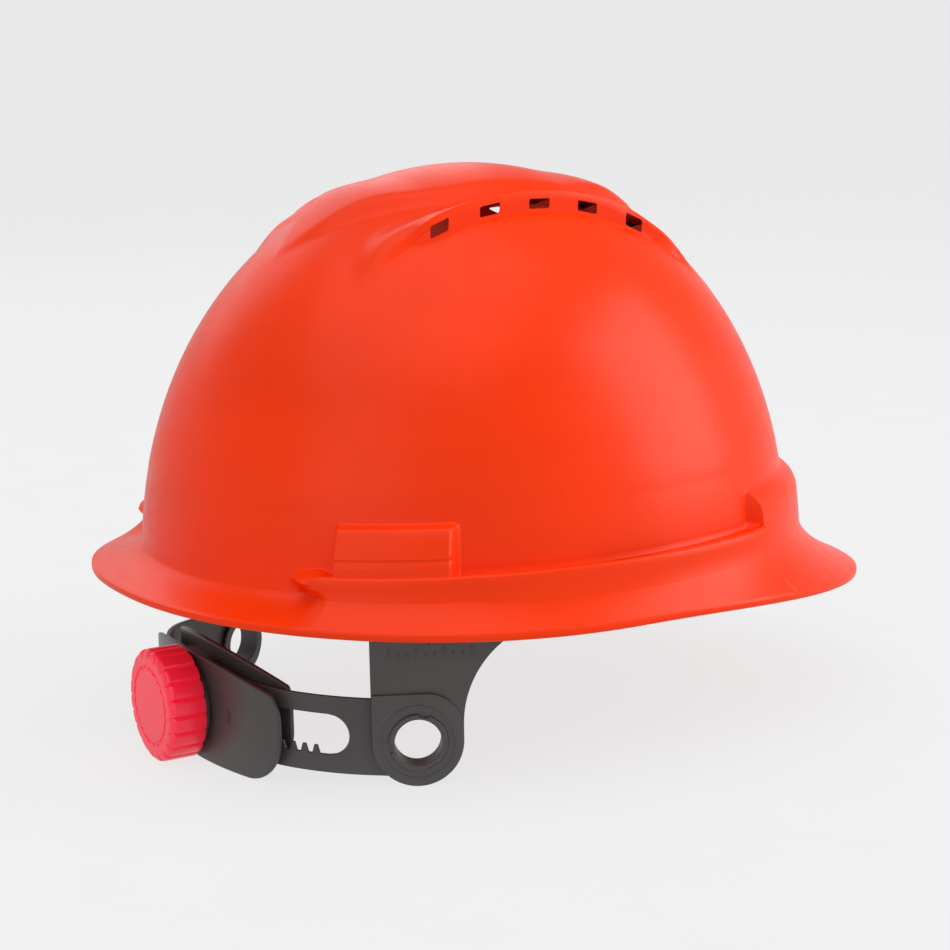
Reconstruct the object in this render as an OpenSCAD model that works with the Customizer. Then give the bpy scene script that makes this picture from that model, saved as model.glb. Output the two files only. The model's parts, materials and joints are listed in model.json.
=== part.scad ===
// Vented safety helmet with a ratchet headband.
// Frame: +X is the peak, +Y the wearer's left, +Z the crown. The lowest points
// of the headband's two side tabs stand on Z = 0, and X = 0 is midway between
// the peak's tip and the rear of the brim.

/* [Shell dome] */
// Half-length of the dome at the rim plane
dome_a = 118.2; // [110:0.1:126]
// Half-width of the dome at the rim plane
dome_b = 100.8; // [94:0.1:108]
// Height of the crown above the rim plane
dome_h = 141.5; // [130:0.5:150]
// Exponent of the dome's plan curve
dome_n = 2.11; // [2:0.01:2.3]
// Exponent of the dome's side curve
dome_p = 2.17; // [2:0.01:2.4]
// Wall thickness of the shell
shell_wall = 2.5; // [2:0.1:3.5]

/* [Brim and peak] */
// Reach of the peak in front of the dome's centre
peak_reach = 148; // [140:1:156]
// Reach of the brim behind the dome's centre
rear_reach = 135; // [128:1:140]
// Half-width across the brim
brim_half_width = 113.5; // [110:0.5:118]
// Drop of the peak's tip below the rim plane
peak_drop = 12.9; // [8:0.1:16]
// Rise of the rear brim above the rim plane
rear_rise = 6.5; // [4:0.1:9]

/* [Crown relief] */
// Distance of each vented ridge's outer wall from the centre line
ridge_y = 45; // [42:0.5:47]
// Height of each vented ridge above the dome
ridge_h = 5.5; // [4:0.5:7]
// Depth of the valleys between the ridges and the spine
valley_depth = 2.6; // [2:0.1:4]
// Half-width of the central spine
spine_w = 31; // [26:1:33]
// Vents in each ridge
vents = 5; // [3:1:6]
// Distance between vents
vent_pitch = 19.2; // [16:0.1:20]
// Length of a vent
vent_l = 8; // [6:0.5:10]
// Height of a vent
vent_h = 3.8; // [3:0.1:5]

/* [Side features] */
// Height of the gutter ledge above the rim plane
ledge_z = 21; // [18:0.5:23]
// Width of the gutter ledge
ledge_w = 8; // [6:0.5:9]
// Length of each accessory slot
slot_l = 31.5; // [28:0.5:34]
// Width of each accessory slot
slot_w = 3.5; // [2.5:0.1:4]
// Height of the rear key box above the rim plane
box_z = 35.6; // [34:0.5:40]
// How far the rear key box stands out
box_out = 7; // [5:0.5:8]
// Height of the front block above the rim plane
block_z = 30; // [26:0.5:32]
// How far the front block stands out
block_out = 5; // [4:0.5:6]

/* [Headband] */
// Half-length of the headband's middle line
band_a = 108; // [104:0.5:110]
// Half-width of the headband's middle line
band_b = 88.6; // [86:0.1:90]
// Thickness of the headband
band_t = 1.6; // [1.4:0.1:2]
// Height of the front part of the headband
band_h = 32; // [28:1:36]
// Thickness of the side tabs
tab_t = 2; // [1.6:0.1:2.2]
// Radius of the ring at the foot of each tab
tab_ring_r = 15; // [14:0.5:16]
// Radius of the hole through each pivot bush
eyelet_r = 7.75; // [7:0.05:8]

/* [Rear arms and ratchet] */
// Height of the rear arms
arm_h = 26; // [24:0.5:28]
// Thickness of the rear arms
arm_t = 1.6; // [1.4:0.1:1.8]
// Distance between rack teeth
rack_pitch = 4; // [3.9:0.1:4.1]
// Teeth of the drive pinion
pinion_teeth = 8; // [8:1:8]
// Half-width of the ratchet's outer cover
cover_w = 51; // [48:0.5:53]
// Radius of the knob
knob_r = 19; // [17:0.5:20]
// Depth of the knob
knob_depth = 12.5; // [11:0.5:14]
// Grip grooves around the knob
knob_grooves = 20; // [16:1:24]

/* [Straps and pads] */
// Width of the crown straps
strap_w = 19; // [15:1:22]
// Thickness of the crown straps
strap_t = 1.2; // [1:0.1:1.5]
// Clear height under the crown straps, above the rim plane
strap_z = 102; // [96:1:106]
// Thickness of the brow pad
brow_t = 4; // [3:0.5:5]
// Thickness of the nape pad
nape_t = 3.5; // [2.5:0.5:4]

/* [Hidden] */
$fn = 48;
eps = 0.01;

// Places of the whole object: the dome's centre on the rim plane.
eyelet_z = -38.2;
rim_z = tab_ring_r - eyelet_z;
dome_x = (rear_reach - peak_reach) / 2;

// The eyelets: where the side tabs and the rear arms meet.
eyelet_x = -62.3;
eyelet_y = 72.5;
tab_turn = 26;
tab_along = [-cos(tab_turn), sin(tab_turn)];
tab_out = [-sin(tab_turn), -cos(tab_turn)];
tab_back = 15;
tab_front = 29;
tab_top = 22;
tab_gap = 1;

// The ratchet, on the middle of the nape.
nape_x = -107;
ratchet_z = -34.1;
cover_x = -111;
cover_arc = 133;
cover_t = 1.8;
plate_arc = 100;
plate_w = 46;
layer_gap = 0.15;
layer = arm_t / 2 + layer_gap;
plate_x = nape_x + layer + arm_t / 2 + 0.3;
slot_half = 6.85;
pitch_r = pinion_teeth * rack_pitch / PI / 2;
tooth_add = 1;
tooth_ded = 1.25;
tooth_root_w = 2.5;
tooth_tip_w = 0.9;
post_y = 24;
post_r = 3.2;
screw_r = 1.25;
screw_head_r = 3;
shaft_r = 3;
tail_r = 2.5;
running = 0.08;

// ---- Plan and side curves ----

function clamp01(t) = min(1, max(0, t));
function smooth(t) = let(c = clamp01(t)) c * c * (3 - 2 * c);
function plan_r(a, b, n, phi) =
    pow(pow(abs(cos(phi)) / a, n) + pow(abs(sin(phi)) / b, n), -1 / n);
function polar(r, phi) = [r * cos(phi), r * sin(phi)];
function unit(v) = v / norm(v);

// ---- Shell ----

// Relief of the crown: a central spine between two vented ridges. Each ridge starts
// in a low tail behind, where its crest swings inwards, and fades out in front.
ridge_tail = -67;
ridge_nose = 72;
spine_tail = -73;
spine_nose = 84;
spine_taper = 53;
function ridge_window(x) =
    smooth((x - ridge_tail) / 40) * smooth((ridge_nose - x) / 24);
function ridge_height(x) = ridge_h
    * (1 - 0.36 * smooth((-x - 32) / 16)) * smooth((x - ridge_tail) / 19)
    * (1 - 0.4 * smooth((x - 30) / 25)) * smooth((ridge_nose - x) / 22);
function ridge_crest(x) = ridge_y - 2
    - 2.2 * smooth((-x - 36) / 12) * (1 - smooth((-x - 50) / 14));
function ridge_foot(x) = ridge_y + 0.2 + 1.1 * smooth((-x - 40) / 20);
function ridge_inner(x) = ridge_y - 13 - 6 * smooth((-19 - x) / 26);
function spine_half(x) = spine_w
    * pow(clamp01((x - spine_tail) / spine_taper), 0.65)
    * pow(clamp01((spine_nose - x) / spine_taper), 0.8);
function spine_rise(x) = (0.4 + 3.2 * smooth((abs(x) - 25) / 25))
    * smooth((x - spine_tail + 7) / 30) * smooth((spine_nose - x) / 24);
function crown_relief(x, y) =
    let(q = abs(y), w = ridge_window(x),
        crest = ridge_crest(x), foot = ridge_foot(x), inner = ridge_inner(x),
        valley = -valley_depth * w * smooth((foot - q) / 4),
        across = pow(smooth((q - inner) / (crest - inner)), 1.5) * (1 - smooth((q - crest) / (foot - crest))),
        ridge = (ridge_height(x) + valley_depth * w) * across,
        spine = (spine_rise(x) + valley_depth * w) * smooth((spine_half(x) - q) / 7 + 0.3))
    valley + max(ridge, spine);

// A point of the dome, t from 0 at the pole to 1 at height z_end.
function dome_radius(phi, z, inset) = plan_r(dome_a - inset, dome_b - inset, dome_n, phi)
    * sqrt(1 - pow(z / (dome_h - inset), dome_p));
function dome_point(phi, t, z_end, inset) =
    let(h = dome_h - inset,
        turn = t * acos(pow(z_end / h, dome_p / 2)),
        r = plan_r(dome_a - inset, dome_b - inset, dome_n, phi) * sin(turn),
        z = h * pow(cos(turn), 2 / dome_p),
        x = r * cos(phi), y = r * sin(phi),
        out = unit([x / dome_a / dome_a, y / dome_b / dome_b, z / dome_h / dome_h]))
    [x, y, z] + crown_relief(x, y) * out;

// Steps of the lower wall: the gutter band, the rear boxes and the front block.
block_phi = 56;
box_phi_1 = 122.3;
box_phi_2 = 141.7;
band_phi = 147;
step_phi = 0.9;
function between(v, lo, hi) =
    clamp01((v - lo) / step_phi / 2 + 0.5) * clamp01((hi - v) / step_phi / 2 + 0.5);
function wall_out(phi, z) =
    let(side = abs(phi),
        band = z < ledge_z ? ledge_w * between(side, block_phi, band_phi) : 0,
        box = z < box_z ? box_out * between(side, box_phi_1, box_phi_2) : 0,
        block = z < block_z ? block_out * between(side, -1, block_phi) : 0)
    max(band, box, block);

// The flare from the wall to the brim's edge, f from 0 to 1.
brim_n = 2.2;
function rim_height(phi) = cos(phi) > 0 ? -peak_drop * pow(cos(phi), 2)
    : rear_rise * pow(cos(phi), 2);
function flare_z(phi) = 11 + 2 * smooth((abs(phi) - 106) / 18)
    + smooth((abs(phi) - 128) / 20);
function flare_point(phi, f, inset) =
    let(z1 = flare_z(phi) - inset * 0.8,
        r1 = dome_radius(phi, z1, inset) + wall_out(phi, flare_z(phi)),
        in_band = between(abs(phi), block_phi, band_phi),
        z2 = rim_height(phi) + shell_wall - inset * 0.8,
        r2 = plan_r(cos(phi) > 0 ? peak_reach : rear_reach, brim_half_width, brim_n, phi) - inset,
        zc = z2 + (0.45 + 0.07 * in_band) * (z1 - z2),
        bow = 0.12 + 0.22 * in_band,
        r = (1 - f) * (1 - f) * r1 + 2 * f * (1 - f) * (r1 + bow * (r2 - r1)) + f * f * r2,
        z = (1 - f) * (1 - f) * z1 + 2 * f * (1 - f) * zc + f * f * z2)
    [r * cos(phi), r * sin(phi), z];

dome_rings = 13;
flare_steps = 4;
step_z = 0.6;
top_level = box_z + 2;
levels = [
    box_z + step_z, box_z - step_z, block_z + step_z, block_z - step_z, 27,
    ledge_z + step_z, ledge_z - step_z
];
half_columns = concat(
    [for (p = [0:6:54]) p], [block_phi - step_phi, block_phi + step_phi],
    [for (p = [60:6:120]) p],
    [box_phi_1 - step_phi, box_phi_1 + step_phi, 128, 134],
    [box_phi_2 - step_phi, box_phi_2 + step_phi, band_phi - step_phi, band_phi + step_phi],
    [for (p = [150:6:180]) p]);
last_half = len(half_columns) - 1;
columns = concat(half_columns, [for (i = [last_half - 1:-1:1]) -half_columns[i]]);

function level_point(phi, z, inset) =
    let(zi = z - inset, r = dome_radius(phi, zi, inset) + wall_out(phi, z))
    [r * cos(phi), r * sin(phi), zi];
function wall_rings(inset) = concat(
    [for (k = [1:dome_rings]) [for (p = columns)
        dome_point(p, k / dome_rings, top_level - inset, inset)]],
    [for (z = levels) [for (p = columns) level_point(p, z, inset)]],
    [for (i = [0:flare_steps]) [for (p = columns) flare_point(p, i / flare_steps, inset)]]);
function backwards(list) = [for (i = [len(list) - 1:-1:0]) list[i]];

module shell_wall_solid() {
    outer = wall_rings(0);
    lip = [for (p = columns) flare_point(p, 1, 0) - [0, 0, shell_wall]];
    inner = backwards(wall_rings(shell_wall));
    rings = concat(outer, [lip], inner);
    n = len(columns);
    last = len(rings) - 1;
    points = concat([[0, 0, dome_h + crown_relief(0, 0)]],
        [for (ring = rings) each ring],
        [[0, 0, dome_h - shell_wall + crown_relief(0, 0)]]);
    pole = len(points) - 1;
    function at(k, j) = 1 + k * n + j % n;
    faces = concat(
        [for (j = [0:n - 1]) [0, at(0, j + 1), at(0, j)]],
        [for (k = [0:last - 1], j = [0:n - 1]) each [
            [at(k, j), at(k, j + 1), at(k + 1, j + 1)],
            [at(k, j), at(k + 1, j + 1), at(k + 1, j)]]],
        [for (j = [0:n - 1]) [at(last, j), at(last, j + 1), pole]]);
    polyhedron(points, faces, convexity = 8);
}

// Height of the ridge's foot at each vent.
function dome_z(x, y) = dome_h
    * pow(1 - pow(pow(abs(x) / dome_a, dome_n) + pow(abs(y) / dome_b, dome_n), 2 / dome_n), 1 / dome_p);
vent_mid_x = 3.4;
slot_out = 1.6;

module vent_cutters() {
    for (side = [-1, 1], i = [0:vents - 1]) {
        x = vent_mid_x + (i - (vents - 1) / 2) * vent_pitch;
        translate([x, side * ridge_y, dome_z(x, ridge_y) + 2.4])
            cube([vent_l, 16, vent_h], center = true);
    }
}

module slot_cutters() {
    for (side = [-1, 1])
        translate([3.7, side * (dome_b + slot_out), ledge_z])
            cube([slot_l, slot_w, 12], center = true);
}

module at_dome() translate([dome_x, 0, rim_z]) children();

// The moulding is brought to its overall length and width once it is cut.
module shell() {
    color("orangered") at_dome()
        resize([peak_reach + rear_reach, 2 * brim_half_width, 0]) difference() {
            shell_wall_solid();
            vent_cutters();
            slot_cutters();
        }
}

// ---- Headband ----

band_z = -5;
band_turn = 114.5;
key_phi_front = 49;
key_phi_rear = 131;
peg_r = 2.4;
peg_z = 1.5;

// A strip of wall between two offsets of the headband's plan curve.
function band_line(offset, from, to, steps) = [for (i = [0:steps])
    let(phi = from + (to - from) * i / steps)
    polar(plan_r(band_a + offset, band_b + offset, 2.3, phi), phi)];
module band_strip(inner, outer, half_turn, z, h, steps = 40) {
    translate([0, 0, z]) linear_extrude(h)
        polygon(concat(band_line(outer, -half_turn, half_turn, steps),
            backwards(band_line(inner, -half_turn, half_turn, steps))));
}

// Placement on a tab's plane: local X runs forward along the tab and local Z out.
module at_eyelet(side) {
    translate([eyelet_x, side * eyelet_y, eyelet_z])
        rotate([0, 0, side * tab_turn]) rotate([side * -90, 0, 0]) children();
}

// Placement on a radius of the dome: local X runs outwards.
module on_radius(phi) rotate([0, 0, phi]) children();

module tab_outline() {
    top = tab_top - eyelet_z;
    neck = band_z - eyelet_z;
    waist = 5;
    sweep = 35;
    difference() {
        union() {
            circle(tab_ring_r);
            translate([-tab_back, 0]) square([2 * tab_back, neck]);
            translate([-tab_back, neck]) square([tab_back + tab_front, top - neck]);
            difference() {
                translate([tab_back - eps, waist]) square([tab_front - tab_back, neck - waist + eps]);
                translate([tab_back + sweep, waist]) circle(sweep, $fn = 120);
            }
        }
        circle(eyelet_r + 1.25);
    }
}

module headband() {
    color("dimgray") at_dome() difference() {
        union() {
            band_strip(-band_t / 2, band_t / 2, band_turn, band_z, band_h);
            for (side = [-1, 1]) at_eyelet(side) translate([0, 0, -tab_t / 2])
                linear_extrude(tab_t) mirror([0, side < 0 ? 0 : 1]) tab_outline();
        }
        for (side = [-1, 1], phi = [key_phi_front, key_phi_rear])
            on_radius(side * phi) translate([88, 0, peg_z]) rotate([0, 90, 0])
                cylinder(r = peg_r + 0.2, h = 16);
    }
}

module brow_pad() {
    color("darkslategray") at_dome()
        band_strip(-band_t / 2 - 0.3 - brow_t, -band_t / 2 - 0.3, 42, band_z - 1, band_h, 24);
}

// ---- Suspension keys ----

shelf_z = 8;
shelf_t = 4;
blade_t = 3;
key_w = 22;
lug_w = 12;
front_lug_x = 102.3;
rear_lug_x = 99.9;
front_shelf_w = 14;

// blade_x is the radius of the pocket's outer wall, blade_top the blade's height,
// band_x the radius where the peg meets the headband's inner face, lug_x the radius
// of the lug's inner face and shelf_w the width of the shelf under the strap.
module suspension_key(phi, blade_x, blade_top, band_x, lug_x, shelf_w) {
    blade_in = blade_x - 0.5 - blade_t;
    color("dimgray") at_dome() on_radius(phi) union() {
        translate([blade_in, -key_w / 2, shelf_z]) cube([blade_t, key_w, blade_top - shelf_z]);
        translate([lug_x, -shelf_w / 2, shelf_z]) cube([blade_in - lug_x + eps, shelf_w, shelf_t]);
        translate([lug_x, -lug_w / 2, peg_z - 6]) cube([2.5, lug_w, shelf_z - peg_z + 6 + eps]);
        translate([band_x - 1.5, 0, peg_z]) rotate([0, 90, 0])
            cylinder(r = peg_r, h = lug_x - band_x + 1.5 + eps);
        translate([band_x - 1.7, 0, peg_z]) rotate([0, 90, 0]) cylinder(r = 4, h = 1.2);
    }
}

front_pocket_x = dome_radius(key_phi_front, 20, shell_wall) + block_out - 2.4;
rear_pocket_x = dome_radius(key_phi_rear, 30, shell_wall) + box_out - 2;
front_band_x = plan_r(band_a, band_b, 2.3, key_phi_front) - band_t;
rear_band_x = norm([eyelet_x, eyelet_y]) - tab_t - 0.6;

module key_front_right() suspension_key(-key_phi_front, front_pocket_x, 24, front_band_x,
    front_lug_x, front_shelf_w);
module key_front_left() suspension_key(key_phi_front, front_pocket_x, 24, front_band_x,
    front_lug_x, front_shelf_w);
module key_rear_right() suspension_key(-key_phi_rear, rear_pocket_x, 31, rear_band_x,
    rear_lug_x, key_w);
module key_rear_left() suspension_key(key_phi_rear, rear_pocket_x, 31, rear_band_x,
    rear_lug_x, key_w);

// ---- Crown straps ----

strap_span = 102.5;
strap_foot = shelf_z + shelf_t + 0.1;

function arch_point(a, h, turn) = [
    a * sign(cos(turn)) * pow(abs(cos(turn)), 2 / 2.2),
    strap_foot + h * pow(sin(turn), 2 / 2.2)];
function arch_line(offset, rise) = [for (i = [0:36])
    arch_point(strap_span + offset, strap_z - strap_foot + offset + rise, i * 5)];

module crown_strap(phi, rise) {
    color("slategray") at_dome() rotate([90, 0, phi]) translate([0, 0, -strap_w / 2])
        linear_extrude(strap_w)
            polygon(concat(arch_line(strap_t, rise), backwards(arch_line(0, rise))));
}

module crown_strap_lower() crown_strap(key_phi_front, 0);
module crown_strap_upper() crown_strap(-key_phi_front, strap_t + 0.3);

// ---- Pivot bushes ----

bush_lip = 0.9;
arm_inset = tab_t / 2 + tab_gap + arm_t / 2;
bush_inner = arm_inset + arm_t / 2 + 0.9;

module pivot_bush(side) {
    color("dimgray") at_dome() at_eyelet(side) difference() {
        union() {
            translate([0, 0, tab_t / 2 + 0.1]) cylinder(r = eyelet_r + 1.75, h = bush_lip);
            translate([0, 0, -bush_inner - 1.1])
                cylinder(r = eyelet_r + 1.15, h = bush_inner + 1.1 + tab_t / 2 + 0.1 + eps);
            translate([0, 0, -bush_inner - 1.1]) cylinder(r = 10.8, h = 1.1);
        }
        translate([0, 0, -bush_inner - 2]) cylinder(r = eyelet_r, h = bush_inner + 5);
    }
}

module pivot_bush_right() pivot_bush(-1);
module pivot_bush_left() pivot_bush(1);

// ---- Rear arms ----

// The right arm's middle line: straight past the eyelet, then one curve to the nape.
arm_start = [eyelet_x, -eyelet_y] - arm_inset * tab_out;
bend_0 = arm_start + 16 * tab_along;
bend_1 = bend_0 + 22 * tab_along;
bend_3 = [nape_x, 0];
bend_2 = bend_3 - [0, 40];
function bend(u) = pow(1 - u, 3) * bend_0 + 3 * pow(1 - u, 2) * u * bend_1
    + 3 * (1 - u) * u * u * bend_2 + pow(u, 3) * bend_3;
// w runs 0 to 1 along the arm's own side, and past 1 on the other side.
function arm_mid(w) = w <= 1 ? bend(w) : let(p = bend(2 - w)) [p[0], -p[1]];
function arm_dir(w) = unit(arm_mid(w + 0.01) - arm_mid(w - 0.01));
function arm_normal(w) = let(d = arm_dir(w)) [-d[1], d[0]];
function arm_point(w, offset, shift) =
    arm_mid(w) + arm_normal(w) * (offset + shift * smooth(w / 0.3));
arm_steps = 40;
arm_end = 1.42;
function arm_side(offset, shift) = concat(
    [arm_start - 1 * tab_along + tab_out * offset],
    [for (i = [0:arm_steps]) arm_point(0.001 + i / arm_steps * arm_end, offset, shift)]);

// Length along the middle line, to space the teeth evenly.
function arm_length(i) = i == 0 ? 0
    : arm_length(i - 1) + norm(arm_mid(i / arm_steps) - arm_mid((i - 1) / arm_steps));
half_length = arm_length(arm_steps);
length_table = [for (i = [0:arm_steps]) [arm_length(i), i / arm_steps]];
// The w at a distance from the nape, positive towards the arm's own eyelet.
function w_at(s) = s >= 0 ? lookup(half_length - s, length_table)
    : 2 - lookup(half_length + s, length_table);

// The arm rises a little from the eyelet to the nape.
rise_rate = (ratchet_z - eyelet_z) / (eyelet_x - nape_x);
function arm_centre_z(x) = eyelet_z + rise_rate * (eyelet_x - x);

module side_outline(half, x1, x2) {
    rotate([90, 0, 0]) linear_extrude(220, center = true) polygon([
        [x1, arm_centre_z(x1) - half], [x1, arm_centre_z(x1) + half],
        [x2, arm_centre_z(x2) + half], [x2, arm_centre_z(x2) - half]]);
}

module arm_strip(extra, shift) {
    translate([0, 0, -70]) linear_extrude(60)
        polygon(concat(arm_side(arm_t / 2 + extra, shift),
            backwards(arm_side(-arm_t / 2 - extra, shift))));
}

// Placement at w: local X along the arm, local Y up, local Z along the normal.
module on_arm(w, shift) {
    p = arm_point(w, 0, shift);
    d = arm_dir(w);
    translate([p[0], p[1], arm_centre_z(p[0])])
        rotate([0, 0, atan2(d[1], d[0])]) rotate([90, 0, 0]) children();
}

slot_start = 0.13;
module arm_slot(shift) {
    front_x = arm_mid(slot_start)[0];
    intersection() {
        translate([0, 0, -70]) linear_extrude(60) polygon(concat(
            [for (i = [0:arm_steps]) arm_point(slot_start + i / arm_steps
                * (arm_end - 0.08 - slot_start), arm_t, shift)],
            [for (i = [arm_steps:-1:0]) arm_point(slot_start + i / arm_steps
                * (arm_end - 0.08 - slot_start), -arm_t, shift)]));
        side_outline(slot_half, front_x + 1, nape_x - 5);
    }
    on_arm(slot_start, shift) cylinder(r = slot_half, h = 3 * arm_t, center = true);
}

module rack_tooth(edge) {
    base = slot_half + 0.4;
    tip = pitch_r - tooth_add;
    translate([0, 0, -arm_t / 2]) linear_extrude(arm_t) polygon([
        [-tooth_root_w / 2 - 0.2, edge * base], [tooth_root_w / 2 + 0.2, edge * base],
        [tooth_tip_w / 2, edge * tip], [-tooth_tip_w / 2, edge * tip]]);
}

module arm(shift, edge) {
    union() {
        difference() {
            union() {
                intersection() {
                    arm_strip(0, shift);
                    side_outline(arm_h / 2, eyelet_x + 20, nape_x - 5);
                }
                translate([arm_start[0], arm_start[1], eyelet_z]) rotate([0, 0, -tab_turn])
                    rotate([90, 0, 0]) cylinder(r = arm_h / 2, h = arm_t, center = true);
            }
            arm_slot(shift);
            translate([arm_start[0], arm_start[1], eyelet_z]) rotate([0, 0, -tab_turn])
                rotate([90, 0, 0]) cylinder(r = eyelet_r + 1.55, h = 4 * arm_t, center = true);
        }
        for (i = [-7:14]) on_arm(w_at((i + 0.5) * rack_pitch), shift) rack_tooth(edge);
    }
}

module rear_arm_right() {
    color("dimgray") at_dome() arm(-layer, -1);
}
module rear_arm_left() {
    color("dimgray") at_dome() mirror([0, 1, 0]) arm(layer, 1);
}

// ---- Ratchet housing ----

// A curved plate: an arc of wall in plan, cut to a rounded outline seen from behind.
module curved_plate(x, arc, t, half_w, z_low, z_high, corner, crown_r) {
    intersection() {
        translate([x + arc, 0, z_low - 1]) linear_extrude(z_high - z_low + 2) difference() {
            circle(arc, $fn = 240);
            circle(arc - t, $fn = 240);
        }
        translate([x - 1, 0, 0]) rotate([90, 0, 90]) linear_extrude(30) intersection() {
            rounded_outline(half_w, z_low, z_high, corner);
            translate([0, z_high - crown_r]) circle(crown_r, $fn = 200);
        }
    }
}

module rounded_outline(half_w, z_low, z_high, corner) {
    translate([-half_w + corner, z_low]) square([2 * (half_w - corner), z_high - z_low]);
    translate([-half_w, z_low + corner]) square([2 * half_w, z_high - z_low - 2 * corner]);
    for (y = [-1, 1], z = [z_low + corner, z_high - corner])
        translate([y * (half_w - corner), z]) circle(corner);
}

// Placement on the knob's axis: local Z runs rearwards from the cover's outer face.
module on_knob_axis() translate([cover_x, 0, ratchet_z]) rotate([0, -90, 0]) children();

detent_ring_r = 15.6;
detent_inner_r = 13;
detent_teeth = 24;

module ratchet_cover() {
    color("dimgray") at_dome() difference() {
        union() {
            curved_plate(cover_x, cover_arc, cover_t, cover_w, -53, -17.5, 14.5, 150);
            on_knob_axis() translate([0, 0, -1]) difference() {
                cylinder(r = detent_ring_r, h = 5);
                translate([0, 0, 1]) cylinder(r = detent_inner_r, h = 10);
                for (i = [0:detent_teeth - 1]) rotate([0, 0, i * 360 / detent_teeth])
                    translate([detent_inner_r, 0, 1]) cylinder(r = 0.8, h = 10, $fn = 16);
            }
            for (y = [-post_y, post_y]) translate([plate_x - 6, y, ratchet_z])
                rotate([0, 90, 0]) cylinder(r = post_r, h = 8.7);
        }
        on_knob_axis() translate([0, 0, -10]) cylinder(r = shaft_r + running, h = 20);
        for (y = [-post_y, post_y]) translate([plate_x - 2.5, y, ratchet_z])
            rotate([0, 90, 0]) cylinder(r = screw_r, h = 8);
    }
}

module ratchet_inner_plate() {
    color("dimgray") at_dome() difference() {
        curved_plate(plate_x, plate_arc, cover_t, plate_w, -51, -16.5, 13, 130);
        translate([plate_x - 5, 0, ratchet_z]) rotate([0, 90, 0])
            cylinder(r = tail_r + running, h = 30);
        for (y = [-post_y, post_y]) translate([plate_x - 5, y, ratchet_z])
            rotate([0, 90, 0]) cylinder(r = screw_r + 0.1, h = 30);
    }
}

module nape_pad() {
    pad_x = plate_x + cover_t + 0.3;
    color("darkslategray") at_dome() difference() {
        curved_plate(pad_x, plate_arc - cover_t, nape_t, plate_w - 4, -49, -20, 12, 140);
        translate([pad_x - 5, 0, ratchet_z]) rotate([0, 90, 0]) cylinder(r = 6.5, h = 30);
        for (y = [-post_y, post_y]) translate([pad_x - 5, y, ratchet_z])
            rotate([0, 90, 0]) cylinder(r = 3.6, h = 30);
    }
}

module cover_screws() {
    head_x = plate_x + cover_t + plate_arc - cover_t
        - sqrt(pow(plate_arc - cover_t, 2) - pow(post_y + screw_head_r, 2)) + 0.05;
    color("silver") at_dome() for (y = [-post_y, post_y])
        translate([head_x, y, ratchet_z]) rotate([0, 90, 0]) {
            cylinder(r = screw_head_r, h = 1.4);
            translate([0, 0, -7.6]) cylinder(r = screw_r - 0.05, h = 7.6 + eps);
        }
}

// ---- Knob and drive ----

knob_lift = 2;
hub_r = 6;
skirt = 2.6;
shaft_top = 10;

module ratchet_knob() {
    groove_r = 1.5;
    color("crimson") at_dome() on_knob_axis() difference() {
        translate([0, 0, knob_lift]) union() {
            cylinder(r = knob_r, h = knob_depth - 2);
            translate([0, 0, knob_depth - 2]) cylinder(r1 = knob_r, r2 = knob_r - 1.6, h = 2, $fn = 96);
        }
        for (i = [0:knob_grooves - 1]) rotate([0, 0, i * 360 / knob_grooves])
            translate([knob_r + groove_r * 0.45, 0, 0]) cylinder(r = groove_r, h = 30, $fn = 24);
        translate([0, 0, knob_lift - 1]) difference() {
            cylinder(r = knob_r - skirt, h = 7);
            cylinder(r = hub_r, h = 8);
        }
        translate([0, 0, -1]) cylinder(r = shaft_r + 0.02, h = shaft_top + 1.2);
    }
}

module detent_spring() {
    ring_t = 1;
    color("black") at_dome() on_knob_axis() translate([0, 0, knob_lift + 0.4]) linear_extrude(1.6)
        difference() {
            union() {
                circle(hub_r + ring_t + 0.1);
                for (i = [0, 1]) rotate([0, 0, i * 180]) {
                    translate([hub_r - 0.5, -1]) square([5.4, 2]);
                    translate([hub_r + 4.2, -1]) square([1.2, 6]);
                    translate([hub_r + 5, 4]) circle(1, $fn = 24);
                }
            }
            circle(hub_r + 0.05);
        }
}

module drive_pinion() {
    low = -(plate_x - cover_x) + 0.2;
    high = -cover_t - 0.3;
    color("dimgray") at_dome() on_knob_axis() difference() {
        union() {
            translate([0, 0, low]) linear_extrude(high - low) union() {
                circle(pitch_r - tooth_ded);
                for (i = [0:pinion_teeth - 1]) rotate([0, 0, i * 360 / pinion_teeth])
                    polygon([[3, -tooth_root_w / 2], [pitch_r + tooth_add, -tooth_tip_w / 2],
                        [pitch_r + tooth_add, tooth_tip_w / 2], [3, tooth_root_w / 2]]);
            }
            translate([0, 0, high - eps]) cylinder(r = shaft_r, h = shaft_top - high);
            translate([0, 0, low - cover_t - 0.1]) cylinder(r = tail_r, h = cover_t + 0.2);
        }
        translate([0, 0, -20]) cylinder(r = screw_r, h = 28);
    }
}

washer_z = -(plate_x - cover_x) - cover_t - 0.25;
module knob_washer() {
    color("silver") at_dome() on_knob_axis() translate([0, 0, washer_z - 0.6]) difference() {
        cylinder(r = 4.8, h = 0.6);
        translate([0, 0, -1]) cylinder(r = screw_r + 0.15, h = 3);
    }
}

module knob_screw() {
    color("silver") at_dome() on_knob_axis() translate([0, 0, washer_z - 0.65]) {
        translate([0, 0, -1.6]) cylinder(r = 3.2, h = 1.6);
        translate([0, 0, -eps]) cylinder(r = screw_r - 0.05, h = 13);
    }
}

shell();
headband();
brow_pad();
key_front_right();
key_front_left();
key_rear_right();
key_rear_left();
crown_strap_lower();
crown_strap_upper();
pivot_bush_right();
pivot_bush_left();
rear_arm_right();
rear_arm_left();
ratchet_cover();
ratchet_inner_plate();
nape_pad();
cover_screws();
ratchet_knob();
detent_spring();
drive_pinion();
knob_screw();
knob_washer();
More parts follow.
